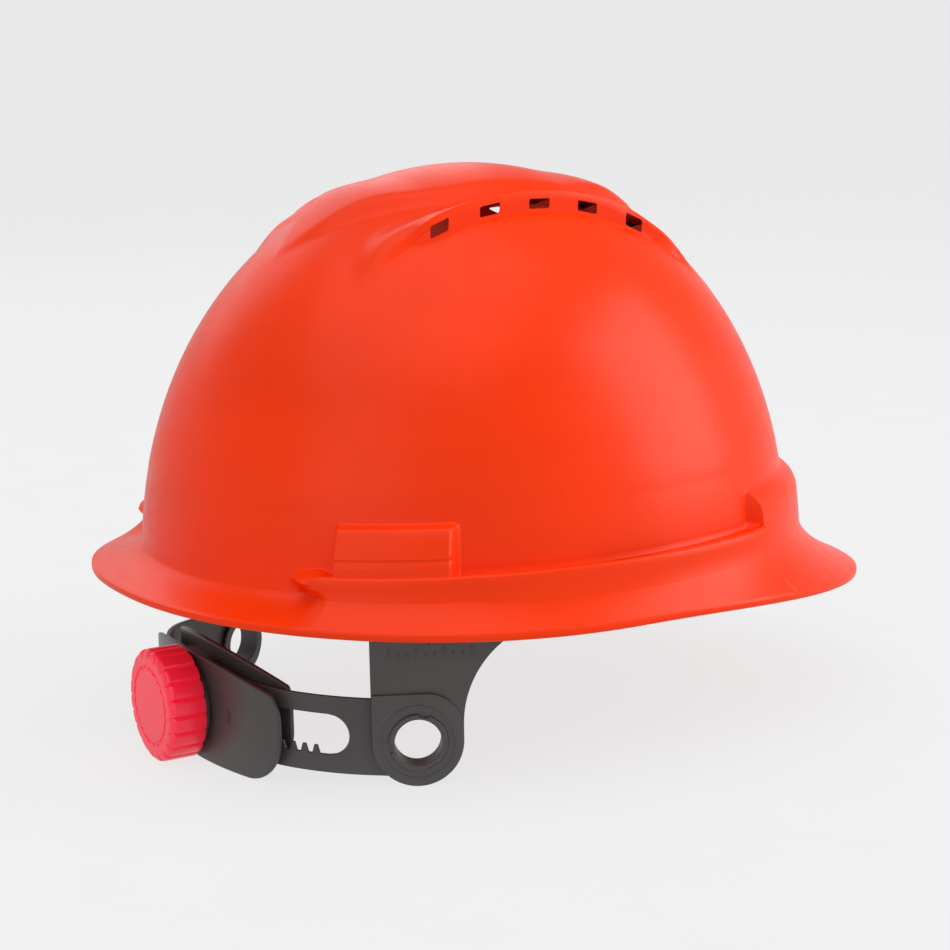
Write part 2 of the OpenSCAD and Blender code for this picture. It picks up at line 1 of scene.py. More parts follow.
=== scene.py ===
import sys
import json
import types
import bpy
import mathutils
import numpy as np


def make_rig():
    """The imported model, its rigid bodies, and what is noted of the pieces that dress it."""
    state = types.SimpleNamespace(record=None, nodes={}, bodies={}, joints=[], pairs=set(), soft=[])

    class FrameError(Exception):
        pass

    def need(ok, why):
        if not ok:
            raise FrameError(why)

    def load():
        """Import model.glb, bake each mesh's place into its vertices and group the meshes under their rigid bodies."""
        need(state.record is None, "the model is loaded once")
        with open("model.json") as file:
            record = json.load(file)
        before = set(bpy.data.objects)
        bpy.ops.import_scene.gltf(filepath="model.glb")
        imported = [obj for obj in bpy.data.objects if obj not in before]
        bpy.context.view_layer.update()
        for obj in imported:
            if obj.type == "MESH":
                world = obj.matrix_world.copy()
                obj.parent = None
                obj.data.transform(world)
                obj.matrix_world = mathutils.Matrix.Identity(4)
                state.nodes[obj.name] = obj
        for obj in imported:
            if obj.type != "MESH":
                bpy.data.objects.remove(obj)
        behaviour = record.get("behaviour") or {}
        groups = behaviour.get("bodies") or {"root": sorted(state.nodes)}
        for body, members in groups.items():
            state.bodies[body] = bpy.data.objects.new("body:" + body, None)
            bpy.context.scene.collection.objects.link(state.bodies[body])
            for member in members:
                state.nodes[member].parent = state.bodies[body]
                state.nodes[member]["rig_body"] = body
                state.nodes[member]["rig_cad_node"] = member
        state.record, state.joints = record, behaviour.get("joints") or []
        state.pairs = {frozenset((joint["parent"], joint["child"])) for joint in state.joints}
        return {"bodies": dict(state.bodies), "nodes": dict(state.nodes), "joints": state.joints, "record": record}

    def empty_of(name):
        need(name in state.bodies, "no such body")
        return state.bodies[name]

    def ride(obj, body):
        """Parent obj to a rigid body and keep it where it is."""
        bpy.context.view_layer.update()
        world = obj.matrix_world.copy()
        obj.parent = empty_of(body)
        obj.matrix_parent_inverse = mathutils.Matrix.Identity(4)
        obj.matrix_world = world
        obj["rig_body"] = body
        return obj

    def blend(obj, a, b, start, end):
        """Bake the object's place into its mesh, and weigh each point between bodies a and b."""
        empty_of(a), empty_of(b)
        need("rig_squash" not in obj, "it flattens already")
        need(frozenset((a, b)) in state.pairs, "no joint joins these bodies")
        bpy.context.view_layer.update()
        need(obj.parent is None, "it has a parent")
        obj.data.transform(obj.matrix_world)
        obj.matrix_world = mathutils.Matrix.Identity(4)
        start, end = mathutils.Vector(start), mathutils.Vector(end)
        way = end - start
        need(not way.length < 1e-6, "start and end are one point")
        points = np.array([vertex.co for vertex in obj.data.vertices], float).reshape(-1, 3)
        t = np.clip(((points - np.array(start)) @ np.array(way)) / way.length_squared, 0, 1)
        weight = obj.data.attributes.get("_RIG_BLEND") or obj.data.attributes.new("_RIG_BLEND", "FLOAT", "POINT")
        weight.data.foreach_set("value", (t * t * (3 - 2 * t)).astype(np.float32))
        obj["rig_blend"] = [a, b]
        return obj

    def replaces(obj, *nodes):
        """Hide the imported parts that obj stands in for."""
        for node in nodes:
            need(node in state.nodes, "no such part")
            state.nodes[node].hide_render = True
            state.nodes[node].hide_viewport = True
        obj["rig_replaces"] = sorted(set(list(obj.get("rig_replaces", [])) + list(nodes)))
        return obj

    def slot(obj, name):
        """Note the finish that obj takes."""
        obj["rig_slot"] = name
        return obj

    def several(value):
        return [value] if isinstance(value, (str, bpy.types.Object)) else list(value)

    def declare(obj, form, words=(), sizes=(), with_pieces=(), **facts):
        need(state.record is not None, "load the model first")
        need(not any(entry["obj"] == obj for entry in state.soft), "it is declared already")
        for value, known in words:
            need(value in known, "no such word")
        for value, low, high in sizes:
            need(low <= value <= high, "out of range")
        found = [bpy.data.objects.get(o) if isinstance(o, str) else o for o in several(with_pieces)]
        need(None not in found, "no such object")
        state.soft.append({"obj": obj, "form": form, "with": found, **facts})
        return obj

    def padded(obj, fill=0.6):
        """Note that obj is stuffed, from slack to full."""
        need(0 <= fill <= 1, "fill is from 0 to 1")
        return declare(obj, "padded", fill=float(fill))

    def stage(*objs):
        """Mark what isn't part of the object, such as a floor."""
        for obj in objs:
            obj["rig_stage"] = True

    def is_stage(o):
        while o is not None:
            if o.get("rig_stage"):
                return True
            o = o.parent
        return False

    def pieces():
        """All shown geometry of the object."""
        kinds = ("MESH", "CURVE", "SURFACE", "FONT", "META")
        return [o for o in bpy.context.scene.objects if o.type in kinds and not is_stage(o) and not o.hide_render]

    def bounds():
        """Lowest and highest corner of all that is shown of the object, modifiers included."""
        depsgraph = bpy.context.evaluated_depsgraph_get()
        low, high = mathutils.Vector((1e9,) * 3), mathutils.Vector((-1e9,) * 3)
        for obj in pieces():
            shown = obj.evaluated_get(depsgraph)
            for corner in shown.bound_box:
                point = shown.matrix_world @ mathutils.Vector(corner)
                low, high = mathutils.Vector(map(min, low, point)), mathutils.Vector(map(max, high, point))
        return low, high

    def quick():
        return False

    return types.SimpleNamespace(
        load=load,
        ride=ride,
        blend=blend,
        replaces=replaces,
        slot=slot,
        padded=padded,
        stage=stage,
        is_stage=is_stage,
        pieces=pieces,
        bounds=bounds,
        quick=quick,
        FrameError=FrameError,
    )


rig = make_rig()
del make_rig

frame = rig.load()

import json
import math

import bpy
import numpy as np
from bpy.props import FloatProperty, FloatVectorProperty, IntProperty, PointerProperty
from mathutils import Matrix, Vector

bl_info = {
    "name": "Vented Safety Helmet",
    "version": (1, 0, 0),
    "blender": (4, 5, 0),
    "location": "View3D > Sidebar > Helmet",
    "description": "Builds the shell, harness and ratchet of a vented safety helmet",
    "category": "Add Mesh",
}

CAD_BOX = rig.bounds()
MM = 0.001

# The dome's centre on the rim plane, found from the right eyelet's mount.
EYELET = (-62.3, 72.5, -38.2)
MOUNTS = {m["name"]: m["pos_m"] for m in frame["record"]["mounts"]}
ORIGIN = (
    MOUNTS["eyelet_right"][0] - EYELET[0] * MM,
    0.0,
    MOUNTS["eyelet_right"][2] - EYELET[2] * MM,
)


def to_frame(points):
    """Points in millimetres about the dome's centre, as metres in the row frame."""
    return np.asarray(points, float) * MM + np.array(ORIGIN)


# ---------------------------------------------------------------- small tools


def deselect():
    if bpy.context.object and bpy.context.object.mode != "OBJECT":
        bpy.ops.object.mode_set(mode="OBJECT")
    bpy.ops.object.select_all(action="DESELECT")


def pick(obj):
    """Makes obj the only selected object, and the active one."""
    deselect()
    obj.select_set(True)
    bpy.context.view_layer.objects.active = obj
    return obj


def named(obj, name):
    obj.name = name
    obj.data.name = name
    return obj


def coords(obj):
    flat = np.empty(len(obj.data.vertices) * 3)
    obj.data.vertices.foreach_get("co", flat)
    return flat.reshape(-1, 3)


def set_coords(obj, points):
    obj.data.vertices.foreach_set("co", np.asarray(points, float).ravel())
    obj.data.update()


def apply_modifier(obj, kind, **settings):
    pick(obj)
    modifier = obj.modifiers.new(kind.title(), kind)
    for key, value in settings.items():
        setattr(modifier, key, value)
    bpy.ops.object.modifier_apply(modifier=modifier.name)
    return obj


def join(first, others):
    pick(first)
    for other in others:
        other.select_set(True)
    bpy.ops.object.join()
    return first


def settle(obj):
    """Merges doubles, points the faces outwards and puts the object at the origin."""
    pick(obj)
    bpy.ops.object.transform_apply(location=True, rotation=True, scale=True)
    bpy.ops.object.mode_set(mode="EDIT")
    bpy.ops.mesh.select_all(action="SELECT")
    bpy.ops.mesh.remove_doubles(threshold=1e-6)
    bpy.ops.mesh.normals_make_consistent(inside=False)
    bpy.ops.object.mode_set(mode="OBJECT")
    return obj


def smooth_by_angle(obj, degrees=35):
    pick(obj)
    bpy.ops.object.shade_smooth_by_angle(angle=math.radians(degrees))
    return obj


def finish_piece(obj, body, slot, material, *nodes):
    obj.data.materials.clear()
    obj.data.materials.append(material)
    if body:
        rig.ride(obj, body)
    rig.slot(obj, slot)
    if nodes:
        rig.replaces(obj, *nodes)
    return obj


def circle_points(cx, cy, radius, steps=48, start=0.0, end=360.0):
    closed = abs(end - start) >= 360
    count = steps if closed else steps + 1
    return [
        (
            cx + radius * math.cos(math.radians(start + (end - start) * i / steps)),
            cy + radius * math.sin(math.radians(start + (end - start) * i / steps)),
        )
        for i in range(count)
    ]


def cut_sheet(name, loops, thickness, round_edge, cuts=()):
    """A plate cut from flat stock with rounded edges, in millimetres on XY.
    loops are the outline and the holes; cuts are the X values where it may bend."""
    deselect()
    curve = bpy.data.curves.new(name, "CURVE")
    curve.dimensions = "2D"
    curve.fill_mode = "BOTH"
    curve.extrude = thickness / 2 - round_edge
    curve.bevel_depth = round_edge
    curve.bevel_resolution = 2
    curve.offset = -round_edge
    for loop in loops:
        spline = curve.splines.new("POLY")
        spline.points.add(len(loop) - 1)
        for point, (x, y) in zip(spline.points, loop):
            point.co = (x, y, 0, 1)
        spline.use_cyclic_u = True
    obj = bpy.data.objects.new(name, curve)
    bpy.context.collection.objects.link(obj)
    pick(obj)
    bpy.ops.object.convert(target="MESH")
    obj = bpy.context.object
    bpy.ops.object.mode_set(mode="EDIT")
    bpy.ops.mesh.select_all(action="SELECT")
    bpy.ops.mesh.remove_doubles(threshold=1e-4)
    for x in cuts:
        bpy.ops.mesh.select_all(action="SELECT")
        bpy.ops.mesh.bisect(plane_co=(x, 0, 0), plane_no=(1, 0, 0))
    bpy.ops.mesh.select_all(action="SELECT")
    bpy.ops.mesh.normals_make_consistent(inside=False)
    bpy.ops.object.mode_set(mode="OBJECT")
    return named(obj, name)


def bend(obj, place):
    """place takes arrays (along, up, out) in millimetres and gives points about the dome."""
    flat = coords(obj)
    set_coords(obj, to_frame(place(flat[:, 0], flat[:, 1], flat[:, 2])))
    return obj


def clamp01(t):
    return np.clip(t, 0.0, 1.0)


def smooth(t):
    c = clamp01(np.asarray(t, float))
    return c * c * (3 - 2 * c)


# ---------------------------------------------------------------- materials


class Finish:
    """Builds one node-based material on Object coordinates."""

    def __init__(self, name):
        self.material = bpy.data.materials.new(name)
        self.material.use_nodes = True
        self.tree = self.material.node_tree
        self.shader = self.tree.nodes["Principled BSDF"]
        self.coords = self.tree.nodes.new("ShaderNodeTexCoord")

    def node(self, kind, **settings):
        made = self.tree.nodes.new(kind)
        for key, value in settings.items():
            setattr(made, key, value)
        return made

    def link(self, source, target):
        self.tree.links.new(source, target)

    def constant(self, **values):
        for key, value in values.items():
            self.shader.inputs[key.replace("_", " ")].default_value = value

    def mapping(self, scale=(1, 1, 1), turn=(0, 0, 0), source="Object"):
        made = self.node("ShaderNodeMapping")
        made.inputs["Scale"].default_value = scale
        made.inputs["Rotation"].default_value = turn
        self.link(self.coords.outputs[source], made.inputs["Vector"])
        return made.outputs["Vector"]

    def noise(self, scale, detail=3.0, roughness=0.5, vector=None):
        made = self.node("ShaderNodeTexNoise")
        made.inputs["Scale"].default_value = scale
        made.inputs["Detail"].default_value = detail
        made.inputs["Roughness"].default_value = roughness
        self.link(vector or self.coords.outputs["Object"], made.inputs["Vector"])
        return made.outputs["Fac"]

    def ramp(self, source, stops):
        made = self.node("ShaderNodeValToRGB")
        elements = made.color_ramp.elements
        while len(elements) < len(stops):
            elements.new(0.5)
        for element, (place, colour) in zip(elements, stops):
            element.position = place
            element.color = (*colour, 1.0)
        self.link(source, made.inputs["Fac"])
        return made.outputs["Color"]

    def span(self, source, low, high, from_low=0.0, from_high=1.0):
        made = self.node("ShaderNodeMapRange")
        made.inputs["From Min"].default_value = from_low
        made.inputs["From Max"].default_value = from_high
        made.inputs["To Min"].default_value = low
        made.inputs["To Max"].default_value = high
        self.link(source, made.inputs["Value"])
        return made.outputs["Result"]

    def math(self, operation, a, b=None):
        made = self.node("ShaderNodeMath", operation=operation)
        for socket, value in zip(made.inputs, (a, b)):
            if value is None:
                continue
            if isinstance(value, (int, float)):
                socket.default_value = value
            else:
                self.link(value, socket)
        return made.outputs["Value"]

    def bump(self, height, strength, distance, below=None):
        made = self.node("ShaderNodeBump")
        made.inputs["Strength"].default_value = strength
        made.inputs["Distance"].default_value = distance
        self.link(height, made.inputs["Height"])
        if below is not None:
            self.link(below, made.inputs["Normal"])
        return made.outputs["Normal"]

    def colour(self, source):
        self.link(source, self.shader.inputs["Base Color"])

    def roughness(self, source):
        self.link(source, self.shader.inputs["Roughness"])

    def normal(self, source):
        self.link(source, self.shader.inputs["Normal"])


def shade(colour, factor):
    return tuple(min(1.0, c * factor) for c in colour[:3])


MADE = {}


def once(builder):
    def wrapped():
        if builder.__name__ not in MADE:
            MADE[builder.__name__] = builder()
        return MADE[builder.__name__]

    return wrapped


def settings():
    return bpy.context.scene.helmet


@once
def shell_finish():
    """Glossy moulded ABS: even colour, faint flow marks, handling scuffs in the gloss."""
    base = settings().shell.colour
    f = Finish("shell_gloss")
    flow = f.noise(14, 2, 0.4, f.mapping((1.0, 1.0, 2.6)))
    f.colour(f.ramp(flow, [(0.30, shade(base, 0.94)), (0.70, shade(base, 1.05))]))
    scuffs = f.noise(420, 4, 0.7, f.mapping((1.0, 0.18, 0.5), (0.3, 0.2, 0.9)))
    haze = f.span(scuffs, 0.30, 0.42, 0.45, 0.75)
    f.roughness(haze)
    ripple = f.bump(f.noise(70, 1, 0.3), 0.10, 0.0004)
    f.normal(f.bump(f.noise(1500, 2, 0.6), 0.05, 0.00008, ripple))
    f.constant(Specular_IOR_Level=0.07, Coat_Weight=0.22, Coat_Roughness=0.3)
    return f.material


def moulded_plastic(name, colour, rough, grain_scale, grain):
    """Matte moulded plastic: fine spark-erosion grain and slightly uneven colour."""
    f = Finish(name)
    cloud = f.noise(30, 3, 0.5)
    f.colour(f.ramp(cloud, [(0.30, shade(colour, 0.85)), (0.72, shade(colour, 1.15))]))
    fine = f.noise(grain_scale, 3, 0.65)
    f.roughness(f.span(fine, rough - 0.07, rough + 0.09, 0.3, 0.7))
    f.normal(f.bump(fine, grain, 0.00012))
    return f.material


@once
def band_finish():
    return moulded_plastic("band_matte", settings().band.colour, 0.42, 2600, 0.35)


@once
def cover_finish():
    return moulded_plastic("cover_satin", shade(settings().band.colour, 0.9), 0.34, 2600, 0.22)


@once
def drive_finish():
    return moulded_plastic("drive_matte", (0.018, 0.018, 0.02), 0.4, 3000, 0.25)


@once
def knob_finish():
    base = settings().knob.colour
    f = Finish("knob_gloss")
    cloud = f.noise(40, 2, 0.5)
    f.colour(f.ramp(cloud, [(0.3, shade(base, 0.93)), (0.7, shade(base, 1.06))]))
    fine = f.noise(1400, 3, 0.6)
    f.roughness(f.span(fine, 0.28, 0.44, 0.3, 0.7))
    f.normal(f.bump(fine, 0.14, 0.0001))
    f.constant(Coat_Weight=0.2, Coat_Roughness=0.2)
    # The emission paints a faint red glow on the knob, though it is no lamp: painted light.
    f.constant(Emission_Color=(1.0, 0.02, 0.06, 1), Emission_Strength=0.14)
    return f.material


@once
def steel_finish():
    f = Finish("screw_steel")
    brushed = f.noise(900, 4, 0.6, f.mapping((0.1, 1.0, 1.0)))
    f.colour(f.ramp(brushed, [(0.3, (0.42, 0.42, 0.44)), (0.7, (0.62, 0.62, 0.64))]))
    f.roughness(f.span(brushed, 0.22, 0.42, 0.3, 0.7))
    f.normal(f.bump(brushed, 0.2, 0.00005))
    f.constant(Metallic=1.0)
    return f.material


@once
def webbing_finish():
    """Flat woven webbing: the UV map runs in millimetres along and across the strap."""
    f = Finish("strap_webbing")
    split = f.node("ShaderNodeSeparateXYZ")
    f.link(f.coords.outputs["UV"], split.inputs["Vector"])
    along, across = split.outputs["X"], split.outputs["Y"]
    warp = f.math("ABSOLUTE", f.math("SINE", f.math("MULTIPLY", across, 3.6)))
    shift = f.math("MULTIPLY", f.math("FLOOR", f.math("MULTIPLY", across, 3.6 / math.pi)), math.pi / 2)
    pick_line = f.math("ABSOLUTE", f.math("SINE", f.math("ADD", f.math("MULTIPLY", along, 2.6), shift)))
    cloth = f.math("MULTIPLY", f.math("POWER", warp, 0.5), f.math("POWER", pick_line, 0.6))
    # The weave's low points between the threads are painted dark as painted shade; the noise on top adds random tone.
    tint = f.math("MULTIPLY", cloth, f.span(f.noise(700, 3), 0.75, 1.2))
    colour = settings().straps.colour
    f.colour(f.ramp(tint, [(0.05, shade(colour, 0.35)), (0.85, shade(colour, 1.1))]))
    f.roughness(f.span(cloth, 0.9, 0.7))
    f.normal(f.bump(cloth, 0.8, 0.0003))
    f.constant(Sheen_Weight=0.25, Sheen_Roughness=0.5)
    return f.material


@once
def pad_finish():
    """Brushed knitted lining over foam."""
    f = Finish("pad_lining")
    place = f.mapping((1, 1, 1))
    cells = f.node("ShaderNodeTexVoronoi")
    cells.inputs["Scale"].default_value = 900
    f.link(place, cells.inputs["Vector"])
    fluff = f.noise(2200, 4, 0.7)
    knit = f.math("ADD", cells.outputs["Distance"], f.math("MULTIPLY", fluff, 0.6))
    colour = settings().straps.pad_colour
    # The colour follows the knit's height: its hollows are painted darker as painted shade, and the fluff noise adds
    # random tone.
    f.colour(f.ramp(knit, [(0.2, shade(colour, 0.55)), (0.95, shade(colour, 1.35))]))
    f.roughness(f.span(fluff, 0.85, 0.97))
    f.normal(f.bump(knit, 0.6, 0.0004))
    f.constant(Sheen_Weight=0.5, Sheen_Roughness=0.45)
    return f.material


@once
def floor_finish():
    f = Finish("floor_paper")
    fine = f.noise(25, 4, 0.6)
    f.colour(f.ramp(fine, [(0.3, (0.12, 0.12, 0.12)), (0.7, (0.13, 0.13, 0.13))]))
    f.roughness(f.span(fine, 0.85, 0.95))
    f.constant(Specular_IOR_Level=0.05, Emission_Color=(1, 1, 1, 1))
    seen = f.node("ShaderNodeLightPath").outputs["Is Camera Ray"]
    f.link(f.span(seen, 0.58, 0.745), f.shader.inputs["Emission Strength"])
    return f.material


# ---------------------------------------------------------------- shell

DOME_A, DOME_B, DOME_H, DOME_N, DOME_P = 118.2, 100.8, 141.5, 2.11, 2.17
SHELL_WALL = 2.5
PEAK_REACH, REAR_REACH, BRIM_HALF = 148.0, 135.0, 113.5
PEAK_DROP, REAR_RISE, BRIM_N = 12.9, 6.5, 2.2
RIDGE_Y, RIDGE_H, RIDGE_TAIL, RIDGE_NOSE = 45.0, 5.5, -67.0, 72.0
VALLEY, SPINE_W, SPINE_TAIL, SPINE_NOSE = 2.6, 31.0, -73.0, 84.0
VENT_PITCH, VENT_X, VENT_LONG, VENT_TALL, VENT_DEEP = 19.2, 3.37, 8.0, 3.3, 16.0
SLOT_SIZE, SLOT_X, SLOT_OUT = (31.5, 3.9, 12.0), 3.7, 1.8
BLOCK_PHI, BOX_PHI_1, BOX_PHI_2, BAND_PHI = 56.0, 122.3, 141.7, 148.0
LEDGE_Z, LEDGE_W, BOX_OUT, BLOCK_OUT = 21.0, 8.0, 7.0, 5.0
BLOCK_EDGE = -9.0
WALL_TOP = 41.0


def plan_r(a, b, n, phi):
    c, s = np.abs(np.cos(phi)), np.abs(np.sin(phi))
    return ((c / a) ** n + (s / b) ** n) ** (-1 / n)


def ridge_profile(x):
    """Height of a ridge along the helmet, with a low tail behind and a fading nose."""
    height = RIDGE_H * (1 - 0.36 * smooth((-x - 32) / 16)) * smooth((x - RIDGE_TAIL) / 19)
    return height * (1 - 0.4 * smooth((x - 30) / 25)) * smooth((RIDGE_NOSE + 1 - x) / 22)


def crown_relief(x, y):
    """Height of the crown's relief: a central spine between two vented ridges."""
    q = np.abs(y)
    between = smooth((x - RIDGE_TAIL) / 40) * smooth((RIDGE_NOSE - x) / 24)
    crest = RIDGE_Y - 2 - 2.2 * smooth((-x - 36) / 12) * (1 - smooth((-x - 50) / 14))
    foot = RIDGE_Y + 0.2 + 1.1 * smooth((-x - 40) / 20)
    inner = RIDGE_Y - 13 - 6 * smooth((-19 - x) / 26)
    half = SPINE_W * clamp01((x - SPINE_TAIL) / 53) ** 0.65
    half = half * clamp01((SPINE_NOSE - x) / 61) ** 0.8
    rise = (0.4 + 3.0 * smooth((np.abs(x) - 25) / 25)) * smooth((x - SPINE_TAIL + 11) / 48)
    rise = rise * smooth((SPINE_NOSE - x) / 24)
    valley = -VALLEY * between * smooth((foot - q) / 4)
    across = smooth((q - inner) / (crest - inner)) ** 1.5
    across = across * (1 - smooth((q - crest) / (foot - crest)))
    ridge = (ridge_profile(x) + VALLEY * between) * across
    spine = (rise + VALLEY * between) * smooth((half - q) / 7 + 0.3)
    soft = 0.35
    blend = clamp01(0.5 + (ridge - spine) / (2 * soft))
    top = spine + (ridge - spine) * blend + soft * blend * (1 - blend)
    return valley + top


def crown_point(x, y, inset):
    """The dome over the plan point (x, y) of the outer dome, set in by the wall."""
    a, b, h = DOME_A - inset, DOME_B - inset, DOME_H - inset
    x, y = x * a / DOME_A, y * b / DOME_B
    reach = (np.abs(x) / a) ** DOME_N + (np.abs(y) / b) ** DOME_N
    z = h * np.maximum(1e-9, 1 - reach ** (2 / DOME_N)) ** (1 / DOME_P)
    out = np.stack([x / DOME_A**2, y / DOME_B**2, z / DOME_H**2], -1)
    out /= np.linalg.norm(out, axis=-1, keepdims=True)
    return np.stack([x, y, z], -1) + crown_relief(x, y)[..., None] * out


def dome_radius(phi, z, inset):
    a, b, h = DOME_A - inset, DOME_B - inset, DOME_H - inset
    return plan_r(a, b, DOME_N, phi) * np.sqrt(1 - np.clip(z / h, 0, 1) ** DOME_P)


def window(side, low, high, soft=0.55):
    """1 between two angles in degrees, with a soft edge."""
    return smooth((side - low) / soft / 2 + 0.5) * smooth((high - side) / soft / 2 + 0.5)


# Rings down the wall above the gutter, as (height, box share, block share).
UPPER_RINGS = (
    *((z, 0, 0) for z in (40.2, 38.6, 37.3, 36.5)),
    (36.1, 0.03, 0), (35.8, 0.12, 0), (35.6, 0.30, 0), (35.4, 0.50, 0), (35.1, 0.61, 0),
    (34.6, 0.665, 0), (33.8, 0.71, 0), (32.8, 0.76, 0), (31.9, 0.80, 0.10),
    (31.3, 0.825, 0.26), (30.7, 0.845, 0.42), (30.1, 0.865, 0.56), (29.3, 0.89, 0.70),
    (28.4, 0.92, 0.82), (27.5, 0.95, 0.90), (26.5, 0.975, 0.96), (26.0, 0.93, 0.98),
    (25.6, 0.935, 1), (25.1, 1, 1),
)
# Rings of the gutter, as (plain height, gutter share, height in the gutter).
GUTTER_RINGS = (
    (23.2, 0, 23.0), (22.5, 0, 21.6), (22.1, 0, 20.4), (21.9, 0.04, 19.7),
    (21.7, 0.16, 19.4), (21.5, 0.58, 19.4), (21.4, 0.66, 19.8), (21.3, 0.70, 20.5),
    (21.2, 0.75, 20.9), (21.0, 0.84, 21.05), (20.8, 0.92, 20.95), (20.5, 0.975, 20.6),
)
WALL_RINGS = (
    [(z, box, block, 0, z) for z, box, block in UPPER_RINGS]
    + [(z, 1, 1, share, z_gutter) for z, share, z_gutter in GUTTER_RINGS]
    + [(z, 1, 1, 1, z) for z in (20.0, 18.5, 16.9)]
)
FLARE_STEPS = 14
GRID_ALONG, GRID_ACROSS = 168, 104


def band_share(side, z):
    """How far the gutter band stands out: its rear end is raked like a prow."""
    rear = BAND_PHI - 0.7 * np.maximum(19 - z, 0) - 1.2 * np.maximum(z - 19, 0)
    return smooth((side - BLOCK_PHI) / 2 + 0.5) * smooth((rear - side) / 6 + 0.5)


def box_share(side):
    return smooth((side - BOX_PHI_1) / 2.0 + 0.5) * smooth((BOX_PHI_2 - side) / 1.3 + 0.5)


def wall_ring(phi, ring, inset):
    z_plain, box, block, gutter, z_gutter = ring
    side = np.abs(np.degrees(phi))
    in_box = box_share(side)
    in_block = window(side, BLOCK_EDGE, BLOCK_PHI)
    in_band = band_share(side, z_plain)
    if inset:
        z_gutter = z_plain
        gutter = 1 if z_plain <= LEDGE_Z else 0
    openness = smooth((side - BLOCK_PHI) / 2) * smooth((BAND_PHI - 3.5 - side) / 3)
    openness = openness * (1 - in_box) * (1 - in_block)
    z = z_plain + (z_gutter - z_plain) * openness - inset
    out = np.maximum(LEDGE_W * gutter * in_band, BOX_OUT * box * in_box)
    out = np.maximum(out, BLOCK_OUT * block * in_block)
    r = dome_radius(phi, z, inset) + out
    return np.stack([r * np.cos(phi), r * np.sin(phi), z], -1)


def rim_height(phi):
    c = np.cos(phi)
    return np.where(c > 0, -PEAK_DROP, REAR_RISE) * c * c


def flare_ring(phi, f, inset):
    """The brim's flare: a crease under the band, a soft sweep behind and in front."""
    side = np.abs(np.degrees(phi))
    base = 11 + 2 * smooth((side - 106) / 18) + smooth((side - 128) / 20)
    in_band = band_share(side, base)
    in_block = window(side, BLOCK_EDGE, BLOCK_PHI)
    z1 = base - inset * 0.8
    out = np.maximum(LEDGE_W * in_band, BLOCK_OUT * in_block)
    r1 = dome_radius(phi, z1, inset) + out
    z2 = rim_height(phi) + SHELL_WALL - inset * 0.8
    reach = np.where(np.cos(phi) > 0, PEAK_REACH, REAR_REACH)
    r2 = plan_r(reach, BRIM_HALF, BRIM_N, phi) - inset
    zc = z2 + (0.45 + 0.07 * in_band) * (z1 - z2)
    bow = 0.12 + 0.22 * in_band
    a, b, c = (1 - f) ** 2, 2 * f * (1 - f), f * f
    r = a * r1 + b * (r1 + bow * (r2 - r1)) + c * r2
    z = a * z1 + b * zc + c * z2
    return np.stack([r * np.cos(phi), r * np.sin(phi), z], -1)


def rim_rings(phi):
    """The rounded edge of the brim, from its top to its underside."""
    reach = np.where(np.cos(phi) > 0, PEAK_REACH, REAR_REACH)
    r2 = plan_r(reach, BRIM_HALF, BRIM_N, phi)
    z2 = rim_height(phi) + SHELL_WALL
    rings = []
    for back, down in ((0.08, 0.15), (0.0, 0.55), (0.0, 1.7), (0.22, 2.2), (0.75, 2.45)):
        r = r2 - back
        rings.append(np.stack([r * np.cos(phi), r * np.sin(phi), z2 - down], -1))
    return rings


def spread(low, high, count, centres):
    """count + 1 angles from low to high, closer together near the centres."""
    fine = np.linspace(low, high, 4001)
    weight = np.ones_like(fine)
    for c in centres:
        weight += 7 * np.exp(-(((fine - c) / 1.5) ** 2))
    total = np.concatenate([[0], np.cumsum((weight[1:] + weight[:-1]) / 2)])
    return np.interp(np.linspace(0, total[-1], count + 1), total, fine)


def crown_columns(along, across):
    """Angles of the crown grid's border, counter-clockwise from its front right corner."""
    front, rear = 40.0, 153.0
    steps = [BLOCK_PHI, BOX_PHI_1, BOX_PHI_2, BAND_PHI - 3.5, BAND_PHI, BAND_PHI + 2.5]
    nose = spread(-front, front, across, [])[:-1]
    left = spread(front, rear, along, steps)[:-1]
    back = spread(rear, 360 - rear, across, [])[:-1]
    right = spread(360 - rear, 360 - front, along, [360 - s for s in steps])[:-1]
    return np.concatenate([nose, left, back, right])


def border_index(along, across):
    """Grid indices (i along X, j along Y) of the border, in the columns' order."""
    loop = [(along, j) for j in range(across)]
    loop += [(i, across) for i in range(along, 0, -1)]
    loop += [(0, j) for j in range(across, 0, -1)]
    loop += [(i, 0) for i in range(along)]
    return loop


def crown_plan(along, across):
    """Plan points of the crown grid: square over the ridges, round at the wall's top."""
    angles = np.radians(crown_columns(along, across))
    rim_r = plan_r(DOME_A, DOME_B, DOME_N, angles)
    rim_r = rim_r * np.sqrt(1 - (WALL_TOP / DOME_H) ** DOME_P)
    rim = np.stack([rim_r * np.cos(angles), rim_r * np.sin(angles)], -1)
    loop = border_index(along, across)
    edge = {index: rim[k] for k, index in enumerate(loop)}
    u = np.linspace(-1, 1, along + 1)
    v = np.linspace(-1, 1, across + 1)
    low = np.array([edge[(i, 0)] for i in range(along + 1)])
    high = np.array([edge[(i, across)] for i in range(along + 1)])
    back = np.array([edge[(0, j)] for j in range(across + 1)])
    nose = np.array([edge[(along, j)] for j in range(across + 1)])
    s, t = (u[:, None, None] + 1) / 2, (v[None, :, None] + 1) / 2
    coons = (1 - t) * low[:, None] + t * high[:, None]
    coons = coons + (1 - s) * back[None, :] + s * nose[None, :]
    coons = coons - (1 - s) * (1 - t) * low[0] - s * (1 - t) * low[-1]
    coons = coons - (1 - s) * t * high[0] - s * t * high[-1]
    square = np.stack(np.meshgrid(u * 100, v * 76, indexing="ij"), -1)
    m = np.maximum(np.abs(u)[:, None], np.abs(v)[None, :])[..., None]
    mix = smooth((m - 0.70) / 0.30)
    return square * (1 - mix) + coons * mix


